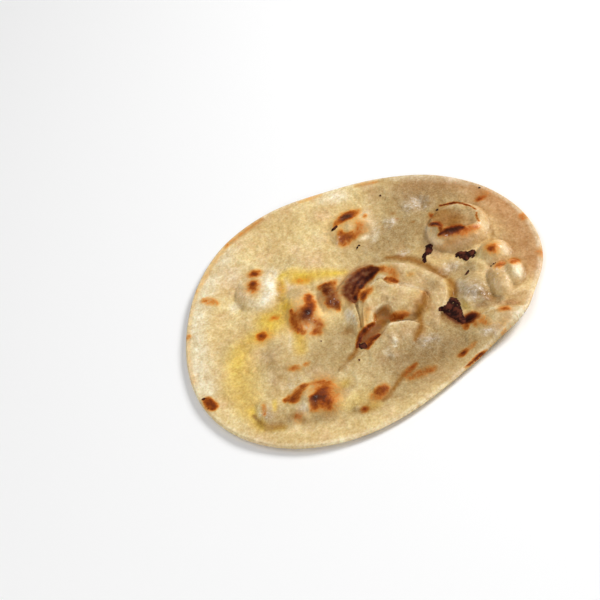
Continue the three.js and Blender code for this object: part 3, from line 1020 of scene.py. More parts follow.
# Small marks scattered over the sheet
SMALL_MARKS = (
    Streak(TOAST, ((-74.6, 45.6, 1.8), (-71.4, 43.4, 2.6), (-68.6, 40.0, 1.7)), 0.27),
    Blot(TOAST, (-88.0, 25.0), (1.8, 1.8), 0.3),
    Blot(TOAST, (-52.0, 6.6), (2.7, 2.5), 0.62),
    Blot(TOAST, (-51.2, 5.4), (4.6, 4.2), 0.22),
    Blot(TOAST, (-42.6, 14.8), (2.8, 1.7), 0.3),
    Blot(TOAST, (-42.4, -22.4), (3.4, 1.7), 0.36, -24.0),
    Blot(TOAST, (-36.0, -22.5), (2.0, 1.3), 0.3, 20.0),
    Blot(TOAST, (79.5, 39.2), (2.8, 1.7), 0.44),
    Blot(TOAST, (82.2, 41.0), (4.0, 3.4), 0.07),
    Blot(CHAR, (82.2, 46.6), (0.8, 1.3), 0.8, -20.0),
    Blot(TOAST, (94.4, 15.6), (2.4, 2.6), 0.28),
    Blot(TOAST, (92.6, -11.7), (2.0, 3.4), 0.2),
    Blot(CHAR, (33.8, 69.6), (0.9, 1.1), 0.75),
    Blot(CHAR, (43.2, 72.8), (0.7, 0.8), 0.55),
    Blot(HONEY_AND_SHADE, (35.4, 54.0), (1.8, 1.5), 0.7),
    Blot(HONEY_AND_SHADE, (36.1, 48.5), (1.6, 1.4), 1.0),
    Blot(HONEY_AND_SHADE, (42.9, 41.9), (1.2, 1.1), 0.9),
    Blot(CHAR, (-11.3, -32.6), (0.7, 1.0), 0.8),
    Blot(CHAR, (-25.8, -11.9), (1.4, 0.7), 0.55, -15.0),
)
# Melted butter, the brown of it in the creases, and painted shadow outside the outer lip
BUTTER_MARKS = (
    Streak(BUTTER, ((-33.2, 39.6, 2.4), (-34.4, 32.0, 3.0), (-36.0, 25.0, 3.4), (-35.0, 19.0, 3.6)), 0.95),
    Blot(TOAST, (-33.8, 32.6), (2.6, 4.6), 0.09),
    Streak(HONEY_AND_SHADE, ((-34.0, 36.0, 1.6), (-35.0, 31.0, 2.0), (-37.0, 25.0, 1.9)), 0.52),
    Streak(
        BUTTER,
        ((-30.6, 41.2, 2.8), (-25.4, 38.4, 5.0), (-20.0, 34.0, 5.0), (-11.5, 31.0, 4.0), (-1.1, 26.5, 2.6)),
        0.8,
    ),
    Blot(BUTTER, (-22.0, 33.2), (6.5, 3.4), 1.0, -20.0),
    Blot(TOAST, (-22.6, 32.0), (5.0, 2.4), 0.18, -20.0),
    Blot(BUTTER, (-42.0, 14.0), (10.0, 10.0), 0.9),
    Blot(PALE_AND_HIGHLIGHT, (-44.6, 21.0), (3.2, 1.8), 0.3),
    Blot(PALE_AND_HIGHLIGHT, (-33.4, 26.6), (1.0, 3.4), 0.35, 10.0),
    Blot(HONEY_AND_SHADE, (-36.4, -2.4), (1.8, 2.4), 0.2),
    Streak(
        BUTTER,
        (
            (-47.0, 15.0, 6.0), (-50.0, 8.0, 6.0), (-58.0, 7.0, 6.0), (-65.0, 1.0, 7.5),
            (-69.0, -14.0, 9.5), (-70.5, -27.0, 8.5), (-69.0, -41.0, 5.0), (-67.0, -49.0, 3.0),
        ),
        0.66,
    ),
    Streak(BUTTER, ((-34.2, -2.0, 3.4), (-36.0, -13.0, 3.4)), 0.7),
    Streak(HONEY_AND_SHADE, ((-34.2, -3.0, 2.4), (-35.0, -12.0, 2.4)), 0.14),
    # Painted shadow outside the right end of the outer lip, where butter also lies in the groove
    Streak(HONEY_AND_SHADE, ((45.8, -6.0, 2.0), (45.8, -11.0, 3.2), (43.6, -17.4, 2.7)), 1.0),
    Streak(BUTTER, ((45.3, -7.0, 2.4), (44.3, -12.2, 2.6), (43.3, -17.4, 2.6)), 0.5),
    Blot(BUTTER, (46.8, -26.3), (2.2, 4.6), 0.5),
    Blot(HONEY_AND_SHADE, (46.4, -9.2), (3.0, 3.4), 0.4),
    Blot(BUTTER, (-20.0, -56.0), (10.0, 6.0), 0.3),
    # Painted shadow just outside the outer lip's crest
    Streak(
        HONEY_AND_SHADE,
        (
            (22.5, 24.6, 1.4), (28.2, 20.8, 2.6), (33.1, 16.8, 2.8), (37.6, 11.0, 2.8), (41.4, 4.2, 2.5),
            (44.4, -2.4, 2.5),
        ),
        0.95,
    ),
)
# Duller, darker places: partly a drier bake, partly painted shade, most of all down the right side
DULL_AND_SHADE_MARKS = (
    Streak(
        TAN,
        (
            (54.0, 66.0, 13.0), (76.0, 56.0, 14.0), (87.0, 34.0, 14.0), (90.0, 8.0, 13.0),
            (88.0, -22.0, 10.0),
        ),
        1.0,
    ),
    Blot(TAN, (46.0, 24.0), (5.0, 12.0), 0.45),
    Blot(TAN, (80.5, -2.0), (3.0, 9.0), 0.5),
    Blot(TAN, (74.0, -35.0), (8.0, 5.0), 0.4),
    Blot(DULL_AND_SHADE, (52.0, 58.0), (30.0, 22.0), 0.8, -30.0),
    Blot(DULL_AND_SHADE, (92.0, 0.0), (10.0, 34.0), 0.25),
    Blot(DULL_AND_SHADE, (32.0, 37.0), (28.0, 20.0), 0.85),
    Blot(DULL_AND_SHADE, (22.0, -44.0), (36.0, 18.0), 1.0),
    Blot(DULL_AND_SHADE, (12.0, -27.0), (12.0, 10.0), 0.3),
    Blot(DULL_AND_SHADE, (10.0, -46.0), (9.0, 7.0), 0.3),
    Blot(DULL_AND_SHADE, (-22.0, -22.0), (24.0, 17.0), 0.65),
    Blot(DULL_AND_SHADE, (-14.0, -11.0), (9.0, 7.0), 0.4),
    Blot(DULL_AND_SHADE, (-25.0, 48.0), (9.0, 6.0), 0.3),
    Blot(DULL_AND_SHADE, (-27.4, 25.2), (5.0, 4.2), 0.45),
    Blot(DULL_AND_SHADE, (-48.0, -4.6), (7.6, 7.4), 0.34, 0.0, 0.5),
    Blot(DULL_AND_SHADE, (-72.0, 5.5), (6.0, 6.0), 0.3),
    Blot(TAN, (-70.0, 28.0), (5.0, 7.0), 0.2),
    Blot(DULL_AND_SHADE, (20.0, 23.0), (9.0, 3.0), 0.3, -40.0),
    Blot(DULL_AND_SHADE, (-50.0, -22.0), (12.0, 14.0), 0.3),
    Blot(DULL_AND_SHADE, (54.4, -18.0), (8.6, 14.0), 0.95),
    Blot(DULL_AND_SHADE, (52.0, -1.0), (9.0, 6.0), 0.8, -30.0),
    Blot(DULL_AND_SHADE, (-6.0, -60.0), (24.0, 8.0), 0.5),
    Blot(DULL_AND_SHADE, (18.0, -3.0), (9.0, 7.0), 0.2),
    Blot(DULL_AND_SHADE, (10.0, 8.6), (5.0, 5.0), 0.2),
    Blot(DULL_AND_SHADE, (14.4, 7.0), (3.4, 3.0), 0.6),
    Blot(DULL_AND_SHADE, (37.4, -4.4), (3.4, 6.4), 0.55),
    Blot(DULL_AND_SHADE, (-37.5, -56.4), (10.0, 5.4), 0.7),
    Blot(DULL_AND_SHADE, (-62.0, -44.4), (5.4, 8.0), 0.9),
    Blot(DULL_AND_SHADE, (-66.4, -40.0), (5.0, 7.0), 0.5),
    Blot(DULL_AND_SHADE, (-26.4, -46.0), (4.0, 4.0), 0.35),
    Blot(DULL_AND_SHADE, (-21.4, -44.6), (4.0, 4.4), 0.6),
    Blot(DULL_AND_SHADE, (-22.6, -59.8), (4.6, 4.6), 0.65),
    Blot(DULL_AND_SHADE, (-35.0, -59.0), (4.4, 2.6), 0.5),
    Blot(DULL_AND_SHADE, (-29.0, -55.4), (3.0, 3.0), 0.3),
    Blot(DULL_AND_SHADE, (-55.2, -55.0), (2.6, 2.4), 0.4),
    Blot(DULL_AND_SHADE, (-56.8, -43.6), (2.2, 3.6), 0.4),
    Blot(DULL_AND_SHADE, (18.0, -40.0), (16.0, 9.0), 0.4),
    Blot(DULL_AND_SHADE, (-42.8, -42.4), (3.4, 4.4), 0.55),
    Blot(DULL_AND_SHADE, (-56.5, -51.6), (7.0, 4.4), 0.6),
    Blot(DULL_AND_SHADE, (72.8, -32.7), (4.0, 3.0), 0.3),
    Blot(TAN, (67.3, -33.3), (4.0, 3.0), 0.3),
    Blot(TAN, (62.0, -42.0), (18.0, 8.0), 0.2, 25.0),
    # Painted shade behind the crest of the fold by the front right edge
    Streak(TAN, ((52.0, -29.4, 1.6), (57.2, -30.6, 2.0), (64.0, -33.0, 2.0), (70.0, -36.4, 1.4)), 0.75),
    Streak(DULL_AND_SHADE, ((53.0, -29.4, 1.6), (57.2, -30.4, 2.0), (61.0, -31.6, 1.6)), 0.6),
)
# Paler places: partly paler dough, partly painted highlights, as on the lifted left rim and the front fold
PALE_AND_HIGHLIGHT_MARKS = (
    Blot(PALE_AND_HIGHLIGHT, (11.0, 82.0), (8.0, 5.0), 0.8, -10.0),
    Blot(PALE_AND_HIGHLIGHT, (-56.0, 70.0), (6.0, 8.0), 0.5, -40.0),
    Blot(PALE_AND_HIGHLIGHT, (-57.0, 58.0), (11.0, 8.0), 0.35, -40.0),
    Blot(PALE_AND_HIGHLIGHT, (-60.9, 33.0), (2.6, 3.4), 0.6),
    Streak(PALE_AND_HIGHLIGHT, ((-38.8, 0.0, 0.8), (-40.2, -6.4, 1.1), (-41.8, -12.0, 0.8)), 0.3),
    # Painted highlight on the lifted left rim
    Streak(PALE_AND_HIGHLIGHT, ((-70.0, 56.0, 6.0), (-83.0, 30.0, 7.0), (-87.0, 6.0, 7.0), (-86.0, -14.0, 6.0)), 0.6),
    Blot(PALE_AND_HIGHLIGHT, (88.0, -28.0), (3.0, 6.0), 0.4, 30.0),
    Blot(PALE_AND_HIGHLIGHT, (60.0, -44.0), (9.0, 5.0), 0.2, 25.0),
    Streak(PALE_AND_HIGHLIGHT, ((43.0, 78.0, 2.0), (56.0, 72.0, 2.6), (69.0, 62.0, 2.4), (77.0, 53.0, 1.6)), 0.24),
    # Painted highlight on the crest and lit face of the fold by the front right edge
    Streak(PALE_AND_HIGHLIGHT, ((57.0, -33.8, 0.8), (63.0, -36.4, 0.9), (68.6, -39.8, 1.0), (72.4, -42.4, 1.0)), 0.4),
    Blot(PALE_AND_HIGHLIGHT, (69.0, -43.2), (5.0, 2.8), 0.95, 20.0),
)
# Where the butter leaves a wet shine, which also gets a painted sheen and painted glints
GLOSS_AND_SHEEN_MARKS = (
    Blot(GLOSS_AND_SHEEN, (48.6, 53.6), (8.0, 5.0), 1.0, -20.0),
    Blot(GLOSS_AND_SHEEN, (32.0, 47.9), (4.0, 4.0), 0.8),
    Blot(GLOSS_AND_SHEEN, (31.6, 23.0), (4.0, 2.4), 0.8),
    Blot(GLOSS_AND_SHEEN, (49.0, 2.0), (5.0, 4.0), 0.8),
    Blot(GLOSS_AND_SHEEN, (53.5, -19.5), (6.0, 8.0), 0.85),
    Blot(GLOSS_AND_SHEEN, (52.4, -46.5), (5.0, 3.0), 0.9),
    Blot(GLOSS_AND_SHEEN, (-45.8, -48.0), (2.8, 3.6), 0.8),
    Blot(GLOSS_AND_SHEEN, (55.6, 23.6), (3.0, 2.0), 1.0),
    Blot(GLOSS_AND_SHEEN, (-27.2, 2.8), (3.2, 3.8), 0.7),
    Blot(GLOSS_AND_SHEEN, (-12.4, 12.6), (2.8, 5.0), 0.7),
    Blot(GLOSS_AND_SHEEN, (-26.4, 9.0), (2.6, 3.0), 0.3),
    Blot(GLOSS_AND_SHEEN, (-38.4, -45.4), (2.6, 3.0), 0.25),
    Blot(GLOSS_AND_SHEEN, (10.4, 64.0), (2.6, 1.6), 0.2),
    Blot(GLOSS_AND_SHEEN, (4.0, 15.0), (2.4, 2.0), 0.4),
    Blot(GLOSS_AND_SHEEN, (3.4, 50.4), (2.6, 3.6), 0.6),
    Blot(GLOSS_AND_SHEEN, (-39.2, 36.0), (6.0, 11.0), 0.8),
    Blot(GLOSS_AND_SHEEN, (-7.0, -4.4), (2.6, 5.0), 0.8),
    Blot(GLOSS_AND_SHEEN, (22.8, -37.2), (6.0, 4.0), 0.7),
    Blot(GLOSS_AND_SHEEN, (68.0, -16.0), (5.0, 8.0), 0.7),
    Blot(GLOSS_AND_SHEEN, (-64.0, -41.0), (4.0, 4.0), 0.7),
    Blot(GLOSS_AND_SHEEN, (-46.0, -31.0), (5.0, 4.0), 0.7),
)
MARKS = (
    *DOME_MARKS,
    *RING_MARKS,
    *LEFT_OF_TEAR_MARKS,
    *TEAR_MARKS,
    *BURST_MARKS,
    *BUBBLE_MARKS,
    *SCRAP_MARKS,
    *FRONT_LEFT_MARKS,
    *RIM_MARKS,
    *FRONT_MARKS,
    *SMALL_MARKS,
    *BUTTER_MARKS,
    *DULL_AND_SHADE_MARKS,
    *PALE_AND_HIGHLIGHT_MARKS,
    *GLOSS_AND_SHEEN_MARKS,
)


@dataclass(frozen=True)
class Grain:
    """A layer of noise in the finish: how fine it is, and how much detail it has."""

    scale: float
    detail: float


class Graph:
    """The nodes of the bread's material, and the few kinds of step that its finish is made of."""

    def __init__(self, tree: bpy.types.NodeTree) -> None:
        """Empties a node tree and reads the bread's coordinates and marks.

        Args:
            tree: The material's own nodes.
        """
        tree.nodes.clear()
        self.tree = tree
        self.coords: Socket = self.add("ShaderNodeTexCoord").outputs["Object"]
        self.masks: dict[Tone, Socket] = {tone: self._mask(tone) for tone in Tone}
        self.layers: dict[Grain, Socket] = {}

    def add(self, kind: str) -> bpy.types.Node:
        """Adds one node."""
        return self.tree.nodes.new(kind)

    def feed(self, socket: Socket, value: Socket | Colour | float) -> None:
        """Links a value to a socket, or sets a plain colour or number on it.

        Args:
            socket: The socket that takes the value.
            value: Another node's output, a colour or a number.
        """
        if isinstance(value, bpy.types.NodeSocket):
            self.tree.links.new(value, socket)
        elif isinstance(value, tuple):
            socket.default_value = (*value, 1.0)
        else:
            socket.default_value = value

    def _mask(self, tone: Tone) -> Socket:
        """A mark's strength, read from the mesh.

        Args:
            tone: The kind of mark.

        Returns:
            The strength, from 0 to 1.
        """
        node = self.add("ShaderNodeAttribute")
        node.attribute_name = tone.value
        return node.outputs["Fac"]

    def noise(self, grain: Grain) -> Socket:
        """A layer of noise over the bread, made once for each grain.

        Args:
            grain: What the layer is like.

        Returns:
            The layer, from 0 to 1.
        """
        if grain not in self.layers:
            node = self.add("ShaderNodeTexNoise")
            self.feed(node.inputs["Vector"], self.coords)
            self.feed(node.inputs["Scale"], grain.scale)
            self.feed(node.inputs["Detail"], grain.detail)
            self.layers[grain] = node.outputs["Fac"]
        return self.layers[grain]

    def levels(self, value: Socket, span: Span, reach: Span = (0.0, 1.0)) -> Socket:
        """A value stretched smoothly.

        Args:
            value: What is stretched.
            span: The two values that are moved.
            reach: Where they are moved to.

        Returns:
            The stretched value, held within the reach.
        """
        node = self.add("ShaderNodeMapRange")
        node.interpolation_type = "SMOOTHSTEP"
        names = ("Value", "From Min", "From Max", "To Min", "To Max")
        for name, amount in zip(names, (value, *span, *reach)):
            self.feed(node.inputs[name], amount)
        return node.outputs["Result"]

    def work_out(self, operation: str, *values: Socket | float) -> Socket:
        """One step of arithmetic.

        Args:
            operation: Blender's word for the step.
            values: What it takes, in order.

        Returns:
            The result.
        """
        node = self.add("ShaderNodeMath")
        node.operation = operation
        for socket, value in zip(node.inputs, values):
            self.feed(socket, value)
        return node.outputs[0]

    def product(self, one: Socket, other: Socket) -> Socket:
        """Two values multiplied."""
        return self.work_out("MULTIPLY", one, other)

    def swing(self, grain: Grain, spread: float) -> Socket:
        """A layer of noise as a factor that swings round 1."""
        return self.work_out("MULTIPLY_ADD", self.noise(grain), 2.0 * spread, 1.0 - spread)

    def mottle(self, mask: Socket, grain: Grain, swing: float) -> Socket:
        """A mask that noise moves up and down, most where it is neither full nor empty.

        Args:
            mask: The even mask.
            grain: The layer of noise.
            swing: How far the noise moves it.

        Returns:
            The mottled mask.
        """
        room = self.work_out("SUBTRACT", 1.0, mask)
        move = self.work_out("MULTIPLY_ADD", self.noise(grain), swing, -0.5 * swing)
        return self.work_out("MULTIPLY_ADD", self.product(room, move), mask, mask)

    def blend(self, factor: Socket, value: Socket, goal: float) -> Socket:
        """A value drawn towards a goal by a mask.

        Args:
            factor: The mask.
            value: What is drawn.
            goal: Where it is drawn to.

        Returns:
            The value, at its goal where the mask is full.
        """
        node = self.add("ShaderNodeMix")
        for place, amount in ((0, factor), (2, value), (3, goal)):
            self.feed(node.inputs[place], amount)
        return node.outputs[0]

    def mix(self, factor: Socket | float, under: Paint, over: Paint, way: str = "MIX") -> Socket:
        """One colour laid over another.

        Args:
            factor: How much of the upper colour shows.
            under: The lower colour.
            over: The upper colour.
            way: Blender's word for how the two meet.

        Returns:
            The colour that shows.
        """
        node = self.add("ShaderNodeMix")
        node.data_type = "RGBA"
        node.blend_type = way
        for place, amount in ((0, factor), (6, under), (7, over)):
            self.feed(node.inputs[place], amount)
        return node.outputs[2]

    def shade(self, colour: Socket, gain: Socket) -> Socket:
        """A colour multiplied by another colour."""
        return self.mix(1.0, colour, gain, "MULTIPLY")

    def ramp(self, value: Socket, stops: Stops) -> Socket:
        """A colour picked from a run of stops.

        Args:
            value: Where on the run the colour is picked.
            stops: The places and colours of the run.

        Returns:
            The colour.
        """
        node = self.add("ShaderNodeValToRGB")
        elements = node.color_ramp.elements
        while len(elements) < len(stops):
            elements.new(0.5)
        for element, (place, colour) in zip(elements, stops):
            element.position = place
            element.color = (*colour, 1.0)
        self.feed(node.inputs["Fac"], value)
        return node.outputs["Color"]


@dataclass(frozen=True)
class BreadFinish:
    """Baked dough: cream crumb, toasted and charred marks, a coat of butter, and a painted sheen with painted
    glints.

    A span is the stretch of a noise layer over which one look turns into another, and a reach is where it
    takes it. A swing is how much a noise layer changes a look.
    """

    cream: Colour = (0.79, 0.60, 0.285)
    beige: Colour = (0.69, 0.495, 0.22)
    warm: Colour = (0.75, 0.52, 0.27)
    # dull, tan and honey also serve as painted shade, and pale as painted highlights
    dull: Colour = (0.34, 0.22, 0.095)
    tan: Colour = (0.54, 0.28, 0.115)
    pale: Colour = (0.95, 0.86, 0.62)
    butter: Colour = (0.75, 0.49, 0.06)
    honey: Colour = (0.31, 0.135, 0.022)
    singe: Colour = (0.165, 0.078, 0.058)
    char: Colour = (0.016, 0.004, 0.003)
    ember: Colour = (0.10, 0.024, 0.012)
    # A painted sheen for the glossy places, and the colour of the painted glints
    sheen_paint: Colour = (0.70, 0.60, 0.48)
    glint_paint: Colour = (0.95, 0.90, 0.84)
    toast_stops: Stops = (
        (0.0, (1.0, 1.0, 1.0)),
        (0.15, (0.97, 0.78, 0.55)),
        (0.3, (0.90, 0.48, 0.20)),
        (0.45, (0.64, 0.24, 0.05)),
        (0.6, (0.42, 0.12, 0.018)),
        (0.75, (0.24, 0.06, 0.016)),
        (0.88, (0.12, 0.034, 0.016)),
        (1.0, (0.05, 0.018, 0.014)),
    )
    broad: Grain = Grain(40.0, 2.0)
    blush: Grain = Grain(75.0, 2.0)
    patch: Grain = Grain(130.0, 3.0)
    soft: Grain = Grain(330.0, 3.0)
    glint: Grain = Grain(640.0, 1.0)
    fine: Grain = Grain(850.0, 2.0)
    grit: Grain = Grain(1500.0, 1.0)
    beige_span: Span = (0.35, 0.65)
    warm_span: Span = (0.45, 0.75)
    sheen_span: Span = (0.35, 0.65)
    sheen_reach: Span = (0.1, 0.6)
    char_span: Span = (0.3, 0.5)
    ember_span: Span = (0.42, 0.66)
    glint_span: Span = (0.6, 0.72)
    glint_reach: Span = (0.0, 0.52)
    butter_swing: float = 0.5
    singe_swing: float = 0.3
    patch_swing: float = 0.34
    soft_swing: float = 0.36
    fine_swing: float = 0.38
    grit_swing: float = 0.5
    grain_hue: Colour = (0.7, 1.0, 1.5)
    singe_toasts: float = 0.32
    toast_soft_swing: float = 3.0
    toast_fine_swing: float = 2.2
    char_soft_swing: float = 1.2
    char_fine_swing: float = 1.0
    rough_span: Span = (0.3, 0.7)
    rough_reach: Span = (0.55, 0.45)
    char_roughness: float = 0.9
    wet_span: Span = (0.45, 0.7)
    wet_reach: Span = (0.0, 0.35)
    butter_wetness: float = 0.7
    gloss_wetness: float = 0.9
    wet_roughness: float = 0.16
    wet_bending: float = 1.45
    specular: float = 0.1
    glow: float = 0.12
    glow_reach: Colour = (1.0, 0.5, 0.2)
    glow_depth: float = 0.002
    bump_strength: float = 0.8
    bump_height: float = 0.0007
    fine_bump: float = 0.4

    def build(self) -> bpy.types.Material:
        """Builds the finish as a material.

        Returns:
            The new material.
        """
        material = bpy.data.materials.new("bread")
        material.use_nodes = True
        graph = Graph(material.node_tree)
        output = graph.add("ShaderNodeOutputMaterial")
        shader = graph.add("ShaderNodeBsdfPrincipled")
        graph.feed(output.inputs["Surface"], shader.outputs["BSDF"])
        toast = self._toast(graph)
        charred = self._charred(graph)
        sockets = shader.inputs
        graph.feed(sockets["Base Color"], self._colour(graph, toast, charred))
        graph.feed(sockets["Roughness"], self._roughness(graph, charred))
        graph.feed(sockets["Coat Weight"], self._wetness(graph, toast, charred))
        graph.feed(sockets["Normal"], self._bump(graph))
        sockets["Coat Roughness"].default_value = self.wet_roughness
        sockets["Coat IOR"].default_value = self.wet_bending
        sockets["Specular IOR Level"].default_value = self.specular
        sockets["Subsurface Weight"].default_value = self.glow
        sockets["Subsurface Radius"].default_value = self.glow_reach
        sockets["Subsurface Scale"].default_value = self.glow_depth
        return material

    def _toast(self, graph: Graph) -> Socket:
        """How toasted each place is, mottled by two layers of noise.

        Args:
            graph: The material's nodes.

        Returns:
            The toasting, from none to full.
        """
        masks = graph.masks
        toast = graph.work_out("MULTIPLY_ADD", masks[Tone.SINGE], self.singe_toasts, masks[Tone.TOAST])
        toast = graph.mottle(toast, self.soft, self.toast_soft_swing)
        return graph.mottle(toast, self.fine, self.toast_fine_swing)

    def _charred(self, graph: Graph) -> Socket:
        """Where the bread is charred through, with torn edges.

        Args:
            graph: The material's nodes.

        Returns:
            The char, from none to full.
        """
        soft = graph.swing(self.soft, self.char_soft_swing)
        fine = graph.swing(self.fine, self.char_fine_swing)
        torn = graph.product(soft, fine)
        return graph.levels(graph.product(graph.masks[Tone.CHAR], torn), self.char_span)

    def _crumb(self, graph: Graph) -> Socket:
        """The crumb before toasting, with butter, dull places partly in painted shade, pale ones partly
        painted highlights, and a painted sheen.

        Args:
            graph: The material's nodes.

        Returns:
            The colour.
        """
        masks = graph.masks
        crumb = graph.mix(graph.levels(graph.noise(self.broad), self.beige_span), self.cream, self.beige)
        crumb = graph.mix(graph.levels(graph.noise(self.blush), self.warm_span), crumb, self.warm)
        oiled = graph.product(masks[Tone.BUTTER], graph.swing(self.patch, self.butter_swing))
        singed = graph.product(masks[Tone.SINGE], graph.swing(self.soft, self.singe_swing))
        # Painted sheen: glossy places are drawn towards a pale grey reflection
        painted_sheen = graph.levels(graph.noise(self.soft), self.sheen_span, self.sheen_reach)
        painted_sheen = graph.product(masks[Tone.GLOSS_AND_SHEEN], painted_sheen)
        painted_sheen = graph.blend(masks[Tone.SINGE], painted_sheen, 0.0)
        coats = (
            (masks[Tone.TAN], self.tan),
            (masks[Tone.DULL_AND_SHADE], self.dull),
            (masks[Tone.PALE_AND_HIGHLIGHT], self.pale),
            (oiled, self.butter),
            (masks[Tone.HONEY_AND_SHADE], self.honey),
            (singed, self.singe),
            (painted_sheen, self.sheen_paint),
        )
        for mask, colour in coats:
            crumb = graph.mix(mask, crumb, colour)
        crumb = self._grainy(graph, crumb, self.patch, self.patch_swing)
        crumb = self._grainy(graph, crumb, self.soft, self.soft_swing)
        crumb = self._grainy(graph, crumb, self.fine, self.fine_swing)
        gritty = self._grainy(graph, crumb, self.grit, self.grit_swing)
        return graph.mix(masks[Tone.DULL_AND_SHADE], crumb, gritty)

    def _grainy(self, graph: Graph, colour: Socket, grain: Grain, swing: float) -> Socket:
        """A colour that noise makes lighter and darker, blue most.

        Args:
            graph: The material's nodes.
            colour: The even colour.
            grain: The layer of noise.
            swing: How far the noise moves it.

        Returns:
            The grainy colour.
        """
        dark = tuple(1.0 - swing * share for share in self.grain_hue)
        light = tuple(1.0 + swing * share for share in self.grain_hue)
        return graph.shade(colour, graph.mix(graph.noise(grain), dark, light))

    def _colour(self, graph: Graph, toast: Socket, charred: Socket) -> Socket:
        """The bread's colour: the crumb, toasted, then charred, with painted glints on the wet places.

        Args:
            graph: The material's nodes.
            toast: How toasted each place is.
            charred: Where the bread is charred.

        Returns:
            The colour.
        """
        colour = graph.shade(self._crumb(graph), graph.ramp(toast, self.toast_stops))
        coal = graph.mix(graph.levels(graph.noise(self.soft), self.ember_span), self.char, self.ember)
        colour = graph.mix(charred, colour, coal)
        # Painted glints on the glossy places
        glints = graph.levels(graph.noise(self.glint), self.glint_span, self.glint_reach)
        glints = graph.product(glints, graph.masks[Tone.GLOSS_AND_SHEEN])
        return graph.mix(glints, colour, self.glint_paint)

    def _roughness(self, graph: Graph, charred: Socket) -> Socket:
        """How rough each place is, most where it is charred."""
        rough = graph.levels(graph.noise(self.patch), self.rough_span, self.rough_reach)
        return graph.blend(charred, rough, self.char_roughness)

    def _wetness(self, graph: Graph, toast: Socket, charred: Socket) -> Socket:
        """How thick the coat of butter is.

        Args:
            graph: The material's nodes.
            toast: How toasted each place is.
            charred: Where the bread is charred.

        Returns:
            The film, from none to full.
        """
        wet = graph.levels(graph.noise(self.patch), self.wet_span, self.wet_reach)
        wet = graph.blend(graph.masks[Tone.BUTTER], wet, self.butter_wetness)
        wet = graph.blend(toast, wet, 0.0)
        wet = graph.blend(graph.masks[Tone.GLOSS_AND_SHEEN], wet, self.gloss_wetness)
        return graph.blend(charred, wet, 0.0)

    def _bump(self, graph: Graph) -> Socket:
        """The crust's finest unevenness.

        Args:
            graph: The material's nodes.

        Returns:
            The direction that the surface faces.
        """
        fine = graph.noise(self.fine)
        height = graph.work_out("MULTIPLY_ADD", fine, self.fine_bump, graph.noise(self.soft))
        node = graph.add("ShaderNodeBump")
        graph.feed(node.inputs["Strength"], self.bump_strength)
        graph.feed(node.inputs["Distance"], self.bump_height)
        graph.feed(node.inputs["Height"], height)
        return node.outputs["Normal"]


